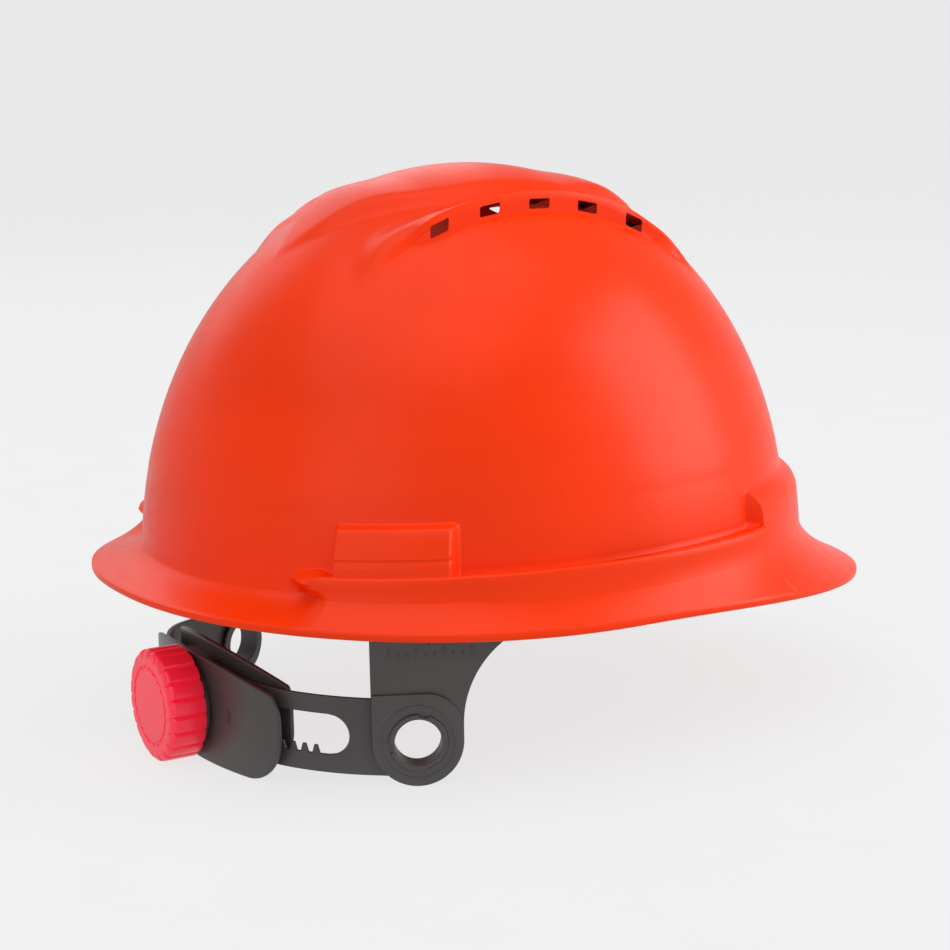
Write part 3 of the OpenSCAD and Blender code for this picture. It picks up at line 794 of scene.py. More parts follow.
def shell_side(along, across, inset, rings, flares):
    """Points of one side of the wall: the crown grid, then rings down to the brim."""
    plan = crown_plan(along, across)
    crown = crown_point(plan[..., 0], plan[..., 1], inset)
    angles = np.radians((crown_columns(along, across) + 180) % 360 - 180)
    lines = [wall_ring(angles, ring, inset) for ring in rings]
    lines += [flare_ring(angles, f, inset) for f in flares]
    return crown, lines


def shell_mesh():
    """The whole moulding as one closed skin. Its relief follows formulas that no
    primitive gives, so its points are worked out here and then joined into faces."""
    points, faces = [], []

    def add(block):
        start = len(points)
        points.extend(map(tuple, np.asarray(block).reshape(-1, 3)))
        return start

    def add_side(along, across, inset, rings, flares, flip, extra=()):
        crown, lines = shell_side(along, across, inset, rings, flares)
        base = add(crown)

        def face(*corners):
            faces.append(corners[::-1] if flip else corners)

        def cell(i, j):
            return base + i * (across + 1) + j

        for i in range(along):
            for j in range(across):
                face(cell(i, j), cell(i + 1, j), cell(i + 1, j + 1), cell(i, j + 1))
        previous = [cell(i, j) for i, j in border_index(along, across)]
        count = len(previous)
        for line in list(lines) + list(extra):
            start = add(line)
            current = [start + k for k in range(count)]
            for k in range(count):
                n = (k + 1) % count
                face(previous[k], current[k], current[n], previous[n])
            previous = current
        return previous

    along, across = GRID_ALONG, GRID_ACROSS
    angles = np.radians((crown_columns(along, across) + 180) % 360 - 180)
    flares = [0, 0.012, 0.03] + [i / FLARE_STEPS for i in range(1, FLARE_STEPS)] + [0.97]
    outer = add_side(along, across, 0, WALL_RINGS, flares, False, rim_rings(angles))
    inner_rings = [ring for k, ring in enumerate(WALL_RINGS) if k % 2 or 20 < ring[0] < 22]
    inner = add_side(along // 2, across // 2, SHELL_WALL, inner_rings,
                     [0, 0.2, 0.4, 0.6, 0.8, 0.98], True)
    half_angles = (crown_columns(along // 2, across // 2) + 180) % 360
    full_angles = (crown_columns(along, across) + 180) % 360
    stitch_rims(faces, outer, inner, full_angles, half_angles)
    mesh = bpy.data.meshes.new("shell_wall")
    mesh.from_pydata([tuple(p) for p in to_frame(points)], [], faces)
    mesh.validate()
    return mesh


def stitch_rims(faces, outer, inner, outer_angles, inner_angles):
    """Joins the brim's two edge loops, which have different numbers of points."""
    outer_turn = np.unwrap(np.radians(outer_angles))
    inner_turn = np.unwrap(np.radians(inner_angles))
    inner_turn += round((outer_turn[0] - inner_turn[0]) / (2 * math.pi)) * 2 * math.pi
    i = j = 0
    n, m = len(outer), len(inner)

    def outer_at(k):
        return outer_turn[k % n] + 2 * math.pi * (k // n)

    def inner_at(k):
        return inner_turn[k % m] + 2 * math.pi * (k // m)

    while i < n or j < m:
        if j >= m or (i < n and outer_at(i + 1) <= inner_at(j + 1)):
            faces.append((outer[i % n], inner[j % m], outer[(i + 1) % n]))
            i += 1
        else:
            faces.append((outer[i % n], inner[j % m], inner[(j + 1) % m]))
            j += 1


def cutter_box(size, place, slope=0.0, corner=0.8):
    """A rounded box in millimetres about the dome's centre, to cut an opening.
    Its ends stay upright while its top and bottom follow the slope."""
    deselect()
    bpy.ops.mesh.primitive_cube_add(size=1)
    box = bpy.context.object
    box.scale = tuple(v * MM for v in size)
    bpy.ops.object.transform_apply(location=False, rotation=False, scale=True)
    apply_modifier(box, "BEVEL", width=corner * MM, segments=3, limit_method="ANGLE")
    points = coords(box)
    points[:, 2] += points[:, 0] * slope
    set_coords(box, points + to_frame(place))
    return box


def dome_z(x, y):
    reach = (abs(x) / DOME_A) ** DOME_N + (abs(y) / DOME_B) ** DOME_N
    return DOME_H * (1 - reach ** (2 / DOME_N)) ** (1 / DOME_P)


class HELMET_OT_shell(bpy.types.Operator):
    """Builds the shell: dome, relief, gutter, key boxes, brim, vents and slots"""

    bl_idname = "helmet.shell"
    bl_label = "Shell"

    def execute(self, context):
        options = settings().shell
        shell = bpy.data.objects.new("shell_moulding", shell_mesh())
        context.collection.objects.link(shell)
        settle(shell)
        cutters = []
        for k in range(options.vents):
            from_middle = k - (options.vents - 1) / 2
            x = VENT_X + from_middle * VENT_PITCH
            z = dome_z(x, RIDGE_Y) + 2.4
            slope = (dome_z(x + 2, RIDGE_Y) - dome_z(x - 2, RIDGE_Y)) / 4
            stretch = from_middle**2
            size = (VENT_LONG - 0.3 * stretch, VENT_DEEP, VENT_TALL + 0.25 * stretch)
            cutters.append(cutter_box(size, (x, -RIDGE_Y, z), slope, 0.7))
        slot = (SLOT_X, -DOME_B - SLOT_OUT, LEDGE_Z)
        cutters.append(cutter_box(SLOT_SIZE, slot, 0.0, 0.6))
        # The openings are cut in the right half, which is then mirrored to the left.
        for tool in cutters:
            apply_modifier(shell, "BOOLEAN", operation="DIFFERENCE", object=tool, solver="FAST")
            bpy.data.objects.remove(tool)
        across = (False, True, False)
        apply_modifier(shell, "MIRROR", use_axis=across, use_bisect_axis=across,
                       use_bisect_flip_axis=across, merge_threshold=0.02 * MM)
        smooth_by_angle(shell, 40)
        finish_piece(shell, "shell", "shell_plastic", shell_finish(), "shell")
        return {"FINISHED"}


# ---------------------------------------------------------------- headband

TAB_TURN = math.radians(26)
TAB_BACK, TAB_FRONT, TAB_TOP, TAB_SWEEP = 15.0, 29.0, 22.0, 35.0
BAND_A, BAND_B, BAND_N, BAND_TURN = 108.0, 88.6, 2.3, 112.0
BAND_HIGH, STRAIGHT_END, BAND_HOLE = 27.0, 27.0, 9.15
MARK_LOW, MARK_PITCH = -10.5, 3.0


class Path:
    """A plan curve of points, measured by its length from a chosen start."""

    def __init__(self, points, start=0.0):
        self.points = np.asarray(points, float)
        steps = np.linalg.norm(np.diff(self.points, axis=0), axis=1)
        self.lengths = start + np.concatenate([[0], np.cumsum(steps)])
        self.end = self.lengths[-1]
        slopes = np.gradient(self.points, self.lengths, axis=0)
        self.slopes = slopes / np.linalg.norm(slopes, axis=1, keepdims=True)

    def at(self, s):
        return np.stack([np.interp(s, self.lengths, self.points[:, k]) for k in (0, 1)], -1)

    def slope(self, s):
        d = np.stack([np.interp(s, self.lengths, self.slopes[:, k]) for k in (0, 1)], -1)
        return d / np.linalg.norm(d, axis=-1, keepdims=True)

    def place(self, s, z, out):
        """Points beside the path; out is to the right of its direction."""
        p, d = self.at(s), self.slope(s)
        return np.stack([p[:, 0] + d[:, 1] * out, p[:, 1] - d[:, 0] * out, z], -1)


def band_path():
    """From behind the right tab, round the brow, to behind the left tab."""
    forward = np.array([math.cos(TAB_TURN), -math.sin(TAB_TURN)])
    eyelet = np.array([EYELET[0], -EYELET[1]])
    straight = [eyelet + forward * u for u in np.linspace(-20, STRAIGHT_END, 30)]
    turns = np.radians(np.linspace(-BAND_TURN, BAND_TURN, 400))
    r = plan_r(BAND_A, BAND_B, BAND_N, turns)
    arc = np.stack([r * np.cos(turns), r * np.sin(turns)], -1)
    mirrored = [(p[0], -p[1]) for p in reversed(straight)]
    return Path(np.concatenate([straight, arc, mirrored]), -20.0)


def tab_edge():
    """The edge of the right tab from its top rear corner to the band's lower edge."""
    ring = EYELET[2]
    edge = [(-TAB_BACK, TAB_TOP)]
    edge += circle_points(0, ring, TAB_BACK, 40, 180, 360)
    edge += circle_points(TAB_BACK + TAB_SWEEP, ring + 5, TAB_SWEEP, 18, 180, 126.4)
    return edge


def band_outline(path):
    """The headband laid out flat: along its length and up."""
    mirror_at = path.lengths[0] + path.end
    lower = tab_edge()
    upper = [(TAB_FRONT - 5, TAB_TOP), (TAB_FRONT - 2, TAB_TOP + 0.8),
             (TAB_FRONT + 2, BAND_HIGH - 0.8), (TAB_FRONT + 5, BAND_HIGH)]
    left_lower = [(mirror_at - x, z) for x, z in reversed(lower)]
    left_upper = [(mirror_at - x, z) for x, z in upper]
    return lower + left_lower + left_upper + list(reversed(upper))


def step_outline():
    """The thicker foot of the tab, around its ring."""
    ring = EYELET[2]
    r = TAB_BACK - 0.15
    edge = [(-r, ring + 16.2), (3, ring + 16.2)]
    turns = np.linspace(0.15, math.pi / 2, 14)
    edge += [(3 + 11.8 * math.sin(a), ring + 3.2 + 13 * math.cos(a)) for a in turns]
    edge += circle_points(0, ring, r, 44, 6, -180)
    return edge


def ridge_ring(name, cx, cz, radius, width, height, steps=72):
    loops = [circle_points(cx, cz, radius + side * width / 2, steps) for side in (1, -1)]
    return cut_sheet(name, loops, height, height * 0.3)


def lift(obj, amount):
    points = coords(obj)
    points[:, 2] += amount
    set_coords(obj, points)
    return obj


def mirror_copy(obj):
    """The same piece on the other side of the helmet."""
    pick(obj)
    bpy.ops.object.duplicate()
    twin = bpy.context.object
    points = coords(twin)
    points[:, 1] *= -1
    set_coords(twin, points)
    return twin


class HELMET_OT_headband(bpy.types.Operator):
    """Builds the headband: brow band, two side tabs with their rings and size marks"""

    bl_idname = "helmet.headband"
    bl_label = "Headband"

    def execute(self, context):
        thickness = settings().band.thickness / MM
        path = band_path()
        mirror_at = path.lengths[0] + path.end
        holes = []
        for middle in (0.0, mirror_at):
            holes.append(circle_points(middle, EYELET[2], BAND_HOLE, 56))
        cuts = np.arange(18, mirror_at - 18, 3.0)
        band = cut_sheet("headband_moulding", [band_outline(path)] + holes, thickness, 0.35, cuts)
        bend(band, path.place)
        details = [self.foot(path, thickness), self.boss(path, thickness)]
        details += self.marks(path, thickness)
        extras = [mirror_copy(d) for d in details]
        join(band, details + extras)
        settle(band)
        smooth_by_angle(band, 32)
        finish_piece(band, "shell", "band_plastic", band_finish(), "headband")
        return {"FINISHED"}

    def foot(self, path, thickness):
        hole = circle_points(0, EYELET[2], BAND_HOLE + 0.05, 56)
        foot = cut_sheet("tab_foot", [step_outline(), hole], 1.0, 0.22)
        return bend(lift(foot, thickness / 2 + 0.42), path.place)

    def boss(self, path, thickness):
        ring = ridge_ring("tab_boss", 0, EYELET[2], 12.2, 0.7, 0.5)
        return bend(lift(ring, thickness / 2 + 0.9), path.place)

    def marks(self, path, thickness):
        """Plain raised size marks below the brim."""
        made = []
        for k in range(10):
            x = -9 + MARK_PITCH * k
            top = MARK_LOW + (3.4 if k % 3 == 0 else 2.0)
            box = [(x - 0.3, MARK_LOW), (x + 0.3, MARK_LOW), (x + 0.3, top), (x - 0.3, top)]
            mark = cut_sheet("size_mark", [box], 0.5, 0.1)
            made.append(bend(lift(mark, thickness / 2 + 0.05), path.place))
        return made


def at_eyelet(obj):
    """Stands a piece modelled about the origin, in metres, on the right eyelet's axis."""
    out = Vector((-math.sin(TAB_TURN), -math.cos(TAB_TURN), 0))
    turn = out.to_track_quat("Z", "Y").to_matrix().to_4x4()
    place = Vector(to_frame((EYELET[0], -EYELET[1], EYELET[2])))
    obj.data.transform(Matrix.Translation(place) @ turn)
    return obj


def spun(name, profile, steps=72):
    """A turned piece: profile is (radius, height) in millimetres about the Z axis."""
    deselect()
    bpy.ops.mesh.primitive_circle_add(vertices=len(profile), radius=1)
    obj = named(bpy.context.object, name)
    set_coords(obj, [(r * MM, 0, z * MM) for r, z in profile])
    bpy.ops.object.mode_set(mode="EDIT")
    bpy.ops.mesh.select_all(action="SELECT")
    bpy.ops.mesh.spin(steps=steps, angle=2 * math.pi, center=(0, 0, 0), axis=(0, 0, 1))
    bpy.ops.object.mode_set(mode="OBJECT")
    return settle(obj)


class HELMET_OT_bushes(bpy.types.Operator):
    """Builds the two snap-in bushes that join the tabs and the rear arms"""

    bl_idname = "helmet.bushes"
    bl_label = "Pivot bushes"

    def execute(self, context):
        profile = [(7.75, -5.4), (8.0, -5.6), (10.6, -5.6), (10.8, -5.4), (10.8, -4.7), (10.6, -4.5)]
        profile += [(8.9, -4.5), (8.9, 1.7), (9.4, 1.75), (9.55, 1.9), (9.55, 2.35), (9.35, 2.6)]
        profile += [(8.5, 2.6), (7.95, 2.45), (7.75, 2.2)]
        bush = spun("pivot_bush_collar_right", profile)
        notches = []
        for angle in (78, 190, 300):
            deselect()
            a = math.radians(angle)
            place = (9.6 * math.cos(a) * MM, 9.6 * math.sin(a) * MM, 2.6 * MM)
            bpy.ops.mesh.primitive_cube_add(size=1, location=place, rotation=(0, 0, a))
            cutter = context.object
            cutter.scale = (1.9 * MM, 3.2 * MM, 1.6 * MM)
            bpy.ops.object.transform_apply(location=True, rotation=True, scale=True)
            notches.append(cutter)
        tool = join(notches[0], notches[1:])
        apply_modifier(bush, "BOOLEAN", operation="DIFFERENCE", object=tool, solver="FAST")
        bpy.data.objects.remove(tool)
        at_eyelet(bush)
        left = named(mirror_copy(bush), "pivot_bush_collar_left")
        for piece, node in ((bush, "pivot_bush_right"), (left, "pivot_bush_left")):
            settle(piece)
            smooth_by_angle(piece, 35)
            finish_piece(piece, "shell", "band_plastic", band_finish(), node)
        return {"FINISHED"}


# ---------------------------------------------------------------- rear arms

NAPE_X, RATCHET_Z, ARM_T, ARM_HALF = -107.0, -34.1, 1.6, 13.0
ARM_INSET, LAYER, SLOT_HALF, RACK_PITCH = 2.8, 0.95, 6.85, 4.0
TOOTH_TIP, TOOTH_FOOT, TOOTH_CROWN = 4.09, 1.3, 0.5
ARM_HOLE, ARM_SLOT_START, ARM_BEYOND = 9.75, 29.0, 27.0


def arm_path(shift):
    """The right arm's plan: straight past the eyelet, one curve to the nape, and on."""
    along = np.array([-math.cos(TAB_TURN), math.sin(TAB_TURN)])
    out = np.array([-math.sin(TAB_TURN), -math.cos(TAB_TURN)])
    start = np.array([EYELET[0], -EYELET[1]]) - out * ARM_INSET
    b0 = start + along * 16
    b1 = b0 + along * 22
    b2, b3 = np.array([NAPE_X, -40.0]), np.array([NAPE_X, 0.0])
    u = np.linspace(0, 1, 160)[1:, None]
    curve = (1 - u) ** 3 * b0 + 3 * (1 - u) ** 2 * u * b1 + 3 * (1 - u) * u * u * b2 + u**3 * b3
    beyond = curve[::-1][1:] * [1, -1]
    straight = np.array([start + along * s for s in np.linspace(-16, 16, 12)])
    path = Path(np.concatenate([straight, curve, beyond]), -16.0)
    nape = path.lengths[len(straight) + len(curve) - 1]
    ease = smooth((path.lengths - 16) / (nape - 16) / 0.3)[:, None]
    normal = np.stack([-path.slopes[:, 1], path.slopes[:, 0]], -1)
    return Path(path.points + normal * shift * ease, -16.0), nape


def arm_height(x):
    rate = (RATCHET_Z - EYELET[2]) / (EYELET[0] - NAPE_X)
    return EYELET[2] + rate * (EYELET[0] - x)


def rack_edge(first, last, nape, edge):
    """One toothed edge of the slot, from first to last along the arm."""
    line = [(first, edge * SLOT_HALF)]
    teeth = [nape - (k + 0.5) * RACK_PITCH for k in range(14, -8, -1)]
    for s in teeth:
        if first + 1 < s - TOOTH_FOOT and s + TOOTH_FOOT < last:
            line += [(s - TOOTH_FOOT, edge * SLOT_HALF), (s - TOOTH_CROWN, edge * TOOTH_TIP)]
            line += [(s + TOOTH_CROWN, edge * TOOTH_TIP), (s + TOOTH_FOOT, edge * SLOT_HALF)]
    return line + [(last, edge * SLOT_HALF)]


def arm_loops(nape, reach, edge):
    """Outline, slot with its rack and eyelet hole of an arm laid out flat."""
    end = nape + reach
    outline = circle_points(0, 0, ARM_HALF, 30, 90, 270)
    outline += circle_points(end - 6, -ARM_HALF + 6, 6, 10, -90, 0)
    outline += circle_points(end - 6, ARM_HALF - 6, 6, 10, 0, 90)
    first, last = ARM_SLOT_START, end - 8
    lower = rack_edge(first, last, nape, -1) if edge < 0 else [(first, -SLOT_HALF), (last, -SLOT_HALF)]
    upper = rack_edge(first, last, nape, 1) if edge > 0 else [(first, SLOT_HALF), (last, SLOT_HALF)]
    slot = circle_points(first, 0, SLOT_HALF, 24, 110, 250) + lower + list(reversed(upper))
    return [outline, slot, circle_points(0, 0, ARM_HOLE, 48)]


class HELMET_OT_arms(bpy.types.Operator):
    """Builds the two toothed rear arms that overlap inside the ratchet"""

    bl_idname = "helmet.arms"
    bl_label = "Rear arms"

    def execute(self, context):
        for side, shift, edge in (("right", -LAYER, -1), ("left", LAYER, 1)):
            path, nape = arm_path(shift)
            loops = arm_loops(nape, ARM_BEYOND, edge)
            cuts = np.arange(-14, nape + 30, 2.0) + 0.037
            arm = cut_sheet(f"rear_arm_{side}_strap", loops, ARM_T, 0.3, cuts)

            def place(s, h, out, path=path):
                points = path.place(s, h, out)
                points[:, 2] += arm_height(points[:, 0])
                return points

            bend(arm, place)
            if side == "left":
                points = coords(arm)
                points[:, 1] *= -1
                set_coords(arm, points)
            settle(arm)
            smooth_by_angle(arm, 32)
            finish_piece(arm, None, "band_plastic", band_finish(), f"rear_arm_{side}")
            x = ORIGIN[0]
            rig.blend(arm, "arms", "ratchet", (x - 67 * MM, 0, 0), (x - 106 * MM, 0, 0))
        return {"FINISHED"}


# ---------------------------------------------------------------- ratchet

COVER_X, PLATE_X, COVER_ARC, PLATE_ARC = -111.0, -104.95, 133.0, 100.0
SCREW_Y, POST_Y = 24.3, 24.0


def rounded_outline(half, low, high, corner, crown):
    """A rounded plate seen from behind, with a crowned upper edge."""
    corners = ((half - corner, low + corner, -90), (half - corner, high - corner, 0))
    corners += ((-half + corner, high - corner, 90), (-half + corner, low + corner, 180))
    edge = []
    for cy, cz, start in corners:
        edge += circle_points(cy, cz, corner, 16, start, start + 90)
        if start == 0:
            edge += [(y, high) for y in np.linspace(half - corner, corner - half, 26)[1:-1]]
    return [(y, min(z, high - crown + math.sqrt(crown**2 - y * y))) for y, z in edge]


def arc_place(x, arc):
    """Bends flat (across, up, forward) stock round an arc whose rear face is at x."""

    def place(y, z, forward):
        angle = y / arc
        r = arc - forward
        return np.stack([x + arc - r * np.cos(angle), r * np.sin(angle), z], -1)

    return place


def curved_plate(name, x, arc, thickness, outline, holes=(), edge=0.45):
    half = max(y for y, _ in outline)
    cuts = np.arange(-half + 1, half, 2.0) + 0.013
    plate = cut_sheet(name, [outline, *holes], thickness, edge, cuts)
    return bend(lift(plate, thickness / 2), arc_place(x, arc))


def on_knob_axis(obj):
    """Turns a piece modelled about Z, in metres, to run rearwards from the cover."""
    place = Vector(to_frame((COVER_X, 0, RATCHET_Z)))
    obj.data.transform(Matrix.Translation(place) @ Matrix.Rotation(math.radians(-90), 4, "Y"))
    return obj


class HELMET_OT_ratchet(bpy.types.Operator):
    """Builds the ratchet's outer cover and inner plate"""

    bl_idname = "helmet.ratchet"
    bl_label = "Ratchet housing"

    def execute(self, context):
        hole = circle_points(0, RATCHET_Z, 3.08, 32)
        outline = rounded_outline(51, -53.2, -16.6, 15.5, 190)
        cover = curved_plate("ratchet_cover_shell", COVER_X, COVER_ARC, 1.8, outline, [hole], 0.6)
        profile = [(13.0, 0.2), (13.0, 3.7), (13.3, 4.0), (15.3, 4.0), (15.6, 3.7), (15.6, -0.6),
                   (13.4, -0.6)]
        ring = on_knob_axis(spun("detent_ring", profile))
        parts = [ring]
        for y in (-POST_Y, POST_Y):
            post = spun("post", [(1.3, -0.9), (3.2, -0.9), (3.2, 5.9), (2.9, 6.2), (1.3, 6.2)], 32)
            place = Vector(to_frame((COVER_X + 3.38, y, RATCHET_Z)))
            turn = Matrix.Rotation(math.radians(90), 4, "Y")
            post.data.transform(Matrix.Translation(place) @ turn)
            parts.append(post)
        parts.append(self.hook())
        join(cover, parts)
        settle(cover)
        smooth_by_angle(cover, 35)
        finish_piece(cover, "ratchet", "band_plastic", cover_finish(), "ratchet_cover")
        screws = [circle_points(y, RATCHET_Z, 1.4, 20) for y in (-SCREW_Y, SCREW_Y)]
        outline = rounded_outline(46.5, -51, -13.5, 14, 130)
        holes = [circle_points(0, RATCHET_Z, 2.6, 24), *screws]
        plate = curved_plate("ratchet_plate", PLATE_X, PLATE_ARC, 1.8, outline, holes, 0.55)
        settle(plate)
        smooth_by_angle(plate, 35)
        finish_piece(plate, "ratchet", "band_plastic", cover_finish(), "ratchet_inner_plate")
        return {"FINISHED"}

    def hook(self):
        """The small catch between cover and plate at the middle of the upper edge."""
        outline = [(-9, -19.6), (9, -19.6), (8, -17.9), (-8, -17.9)]
        hook = cut_sheet("hook", [outline], 5.6, 0.3, np.arange(-8, 9, 2.0))
        return bend(lift(hook, 3.4), arc_place(COVER_X, COVER_ARC))


class HELMET_OT_knob(bpy.types.Operator):
    """Builds the ratchet knob with its scalloped grip and a plain ring on its face"""

    bl_idname = "helmet.knob"
    bl_label = "Ratchet knob"

    RADIUS, LIFT, DEPTH, SIDES = 19.0, 2.0, 12.5, 14

    def grip_radius(self, angle, grooves):
        """Lobes with a narrow groove between each two."""
        turn = (angle * grooves / (2 * math.pi)) % 1.0
        near = abs(turn - 0.5) * 2
        lobe = 0.22 * (near**2)
        groove = 0.95 * math.exp(-(((1 - near) / 0.16) ** 2))
        return self.RADIUS - lobe - groove

    def execute(self, context):
        grooves = settings().knob.grooves
        deselect()
        bpy.ops.mesh.primitive_circle_add(vertices=grooves * self.SIDES, radius=1, fill_type="NGON")
        knob = named(context.object, "ratchet_knob_grip")
        angles = [math.atan2(v.co.y, v.co.x) for v in knob.data.vertices]
        radii = [self.grip_radius(a, grooves) for a in angles]
        corners = zip(angles, radii)
        rim = [(r * math.cos(a) * MM, r * math.sin(a) * MM, self.LIFT * MM) for a, r in corners]
        set_coords(knob, rim)
        bpy.ops.object.mode_set(mode="EDIT")
        bpy.ops.mesh.select_all(action="SELECT")
        rise = self.DEPTH - 2.1
        steps = [(0.5, 1.015), (rise - 0.5, 1.0), (0.7, 0.992), (0.6, 0.972), (0.45, 0.955)]
        steps += [(0.25, 0.962), (0.05, 0.95), (0.05, 0.86), (-0.35, 0.985), (0, 0.93)]
        steps += [(0.35, 0.985), (0.05, 0.6), (0.02, 0.3)]
        for up, scale in steps:
            bpy.ops.mesh.extrude_region_move(TRANSFORM_OT_translate={"value": (0, 0, up * MM)})
            bpy.ops.transform.resize(value=(scale, scale, 1), center_override=(0, 0, 0))
        bpy.ops.object.mode_set(mode="OBJECT")
        settle(knob)
        deselect()
        middle = (0, 0, 4.5 * MM)
        bpy.ops.mesh.primitive_cylinder_add(
            vertices=72, radius=16.4 * MM, depth=7 * MM, location=middle
        )
        cavity = context.object
        apply_modifier(knob, "BOOLEAN", operation="DIFFERENCE", object=cavity, solver="FAST")
        bpy.data.objects.remove(cavity)
        hub = spun("hub", [(3.02, 2.2), (6.0, 2.2), (6.0, 8.4), (3.02, 8.4)], 48)
        join(knob, [hub])
        on_knob_axis(knob)
        settle(knob)
        smooth_by_angle(knob, 30)
        finish_piece(knob, "knob", "knob_plastic", knob_finish(), "ratchet_knob")
        return {"FINISHED"}


# ---------------------------------------------------------------- straps and pads

STRAP_SPAN, STRAP_FOOT, STRAP_TOP, STRAP_W, STRAP_T = 102.5, 12.1, 102.0, 19.0, 1.2
KEY_AZIMUTH, HEM_LENGTH = 49.0, 26.0


def arch_path(rise):
    """A crown strap's side view: reach from the middle, and height."""
    turn = np.radians(np.linspace(0, 180, 240))
    c, s = np.cos(turn), np.sin(turn)
    height = STRAP_TOP - STRAP_FOOT + rise
    reach = STRAP_SPAN * np.sign(c) * np.abs(c) ** (2 / 2.2)
    return Path(np.stack([-reach, STRAP_FOOT + height * np.maximum(s, 0) ** (2 / 2.2)], -1))


def flat_uv(obj):
    """Keeps the flat stock's millimetres as the UV map, before the piece is bent."""
    layer = obj.data.uv_layers.new(name="along_across")
    flat = coords(obj)
    for loop in obj.data.loops:
        layer.data[loop.index].uv = flat[loop.vertex_index, :2]
    return obj


class HELMET_OT_straps(bpy.types.Operator):
    """Builds the two crossing crown straps of woven webbing, with sewn ends"""

    bl_idname = "helmet.straps"
    bl_label = "Crown straps"

    def execute(self, context):
        for node, azimuth, rise in (("crown_strap_lower", KEY_AZIMUTH, 0.0),
                                    ("crown_strap_upper", -KEY_AZIMUTH, STRAP_T + 0.3)):
            path = arch_path(rise)
            half = STRAP_W / 2
            length = path.end
            strap = self.ribbon("webbing", 0.0, length, half, STRAP_T, 0.0, path)
            hems = ((0.5, HEM_LENGTH), (length - HEM_LENGTH, length - 0.5))
            ends = [self.ribbon("hem", a, b, half - 0.3, 0.7, -0.75, path) for a, b in hems]
            stitches = self.stitches(path, length, half)
            join(strap, ends + stitches)
            named(strap, f"{node}_webbing")
            points = (coords(strap) - np.array(ORIGIN)) / MM
            a = math.radians(azimuth)
            reach, width, height = points[:, 0], points[:, 2], points[:, 1]
            x = reach * math.cos(a) - width * math.sin(a)
            y = reach * math.sin(a) + width * math.cos(a)
            set_coords(strap, to_frame(np.stack([x, y, height], -1)))
            settle(strap)
            smooth_by_angle(strap, 35)
            finish_piece(strap, "shell", "strap_webbing", webbing_finish(), node)
        return {"FINISHED"}

    def ribbon(self, name, start, end, half, thickness, offset, path):
        """Here the path's second axis is height, so the width lies along the third."""
        loop = [(start, -half), (end, -half), (end, half), (start, half)]
        cuts = np.arange(start + 2, end - 1, 3.0)
        ribbon = flat_uv(cut_sheet(name, [loop], thickness, thickness * 0.3, cuts))
        points = coords(ribbon)
        placed = path.place(points[:, 0], points[:, 1], -(points[:, 2] + offset + thickness / 2))
        set_coords(ribbon, to_frame(placed))
        return ribbon

    def stitches(self, path, length, half):
        """Two rows of thread across each sewn end."""
        made = []
        for row in (14, 23):
            for middle in (row, length - row):
                for y in np.arange(-half + 2, half - 1, 2.2):
                    thread = [(middle - 0.25, y), (middle + 0.25, y)]
                    thread += [(middle + 0.25, y + 1.5), (middle - 0.25, y + 1.5)]
                    stitch = flat_uv(cut_sheet("thread", [thread], 0.4, 0.12))
                    points = coords(stitch)
                    placed = path.place(points[:, 0], points[:, 1], -(points[:, 2] - 0.85))
                    set_coords(stitch, to_frame(placed))
                    made.append(stitch)
        return made


def pad(name, loops, thickness, cap, channels, channel_depth, place):
    """A sewn foam pad: swollen flat by cloth pressure, quilted, then bent to its place."""
    piece = cut_sheet(name, loops, thickness, thickness * 0.3)
    set_coords(piece, coords(piece) * MM)
    pick(piece)
    apply_modifier(piece, "REMESH", mode="VOXEL", voxel_size=1.5 * MM)
    start = coords(piece)
    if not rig.quick():
        swell(piece)
        moved = coords(piece) - start
        reach = np.linalg.norm(moved, axis=1, keepdims=True)
        set_coords(piece, start + moved * np.minimum(1, cap * MM / np.maximum(reach, 1e-9)))
    apply_modifier(piece, "SUBSURF", levels=1, render_levels=1)
    flat = coords(piece) / MM
    for x in channels:
        flat[:, 2] *= 1 - channel_depth * np.exp(-(((flat[:, 0] - x) / 1.1) ** 2))
    set_coords(piece, flat)
    bend(piece, place)
    settle(piece)
    pick(piece)
    bpy.ops.object.shade_smooth()
    return named(piece, name)


def swell(piece):
    """Inflates the pad a little and keeps the result in its mesh."""
    pick(piece)
    cloth = piece.modifiers.new("Swell", "CLOTH")
    cloth.settings.use_pressure = True
    cloth.settings.uniform_pressure_force = 4
    cloth.settings.effector_weights.gravity = 0
    cloth.point_cache.frame_start, cloth.point_cache.frame_end = 1, 20
    scene = bpy.context.scene
    for k in range(1, 21):
        scene.frame_set(k)
    bpy.ops.object.modifier_apply(modifier=cloth.name)
    scene.frame_set(1)


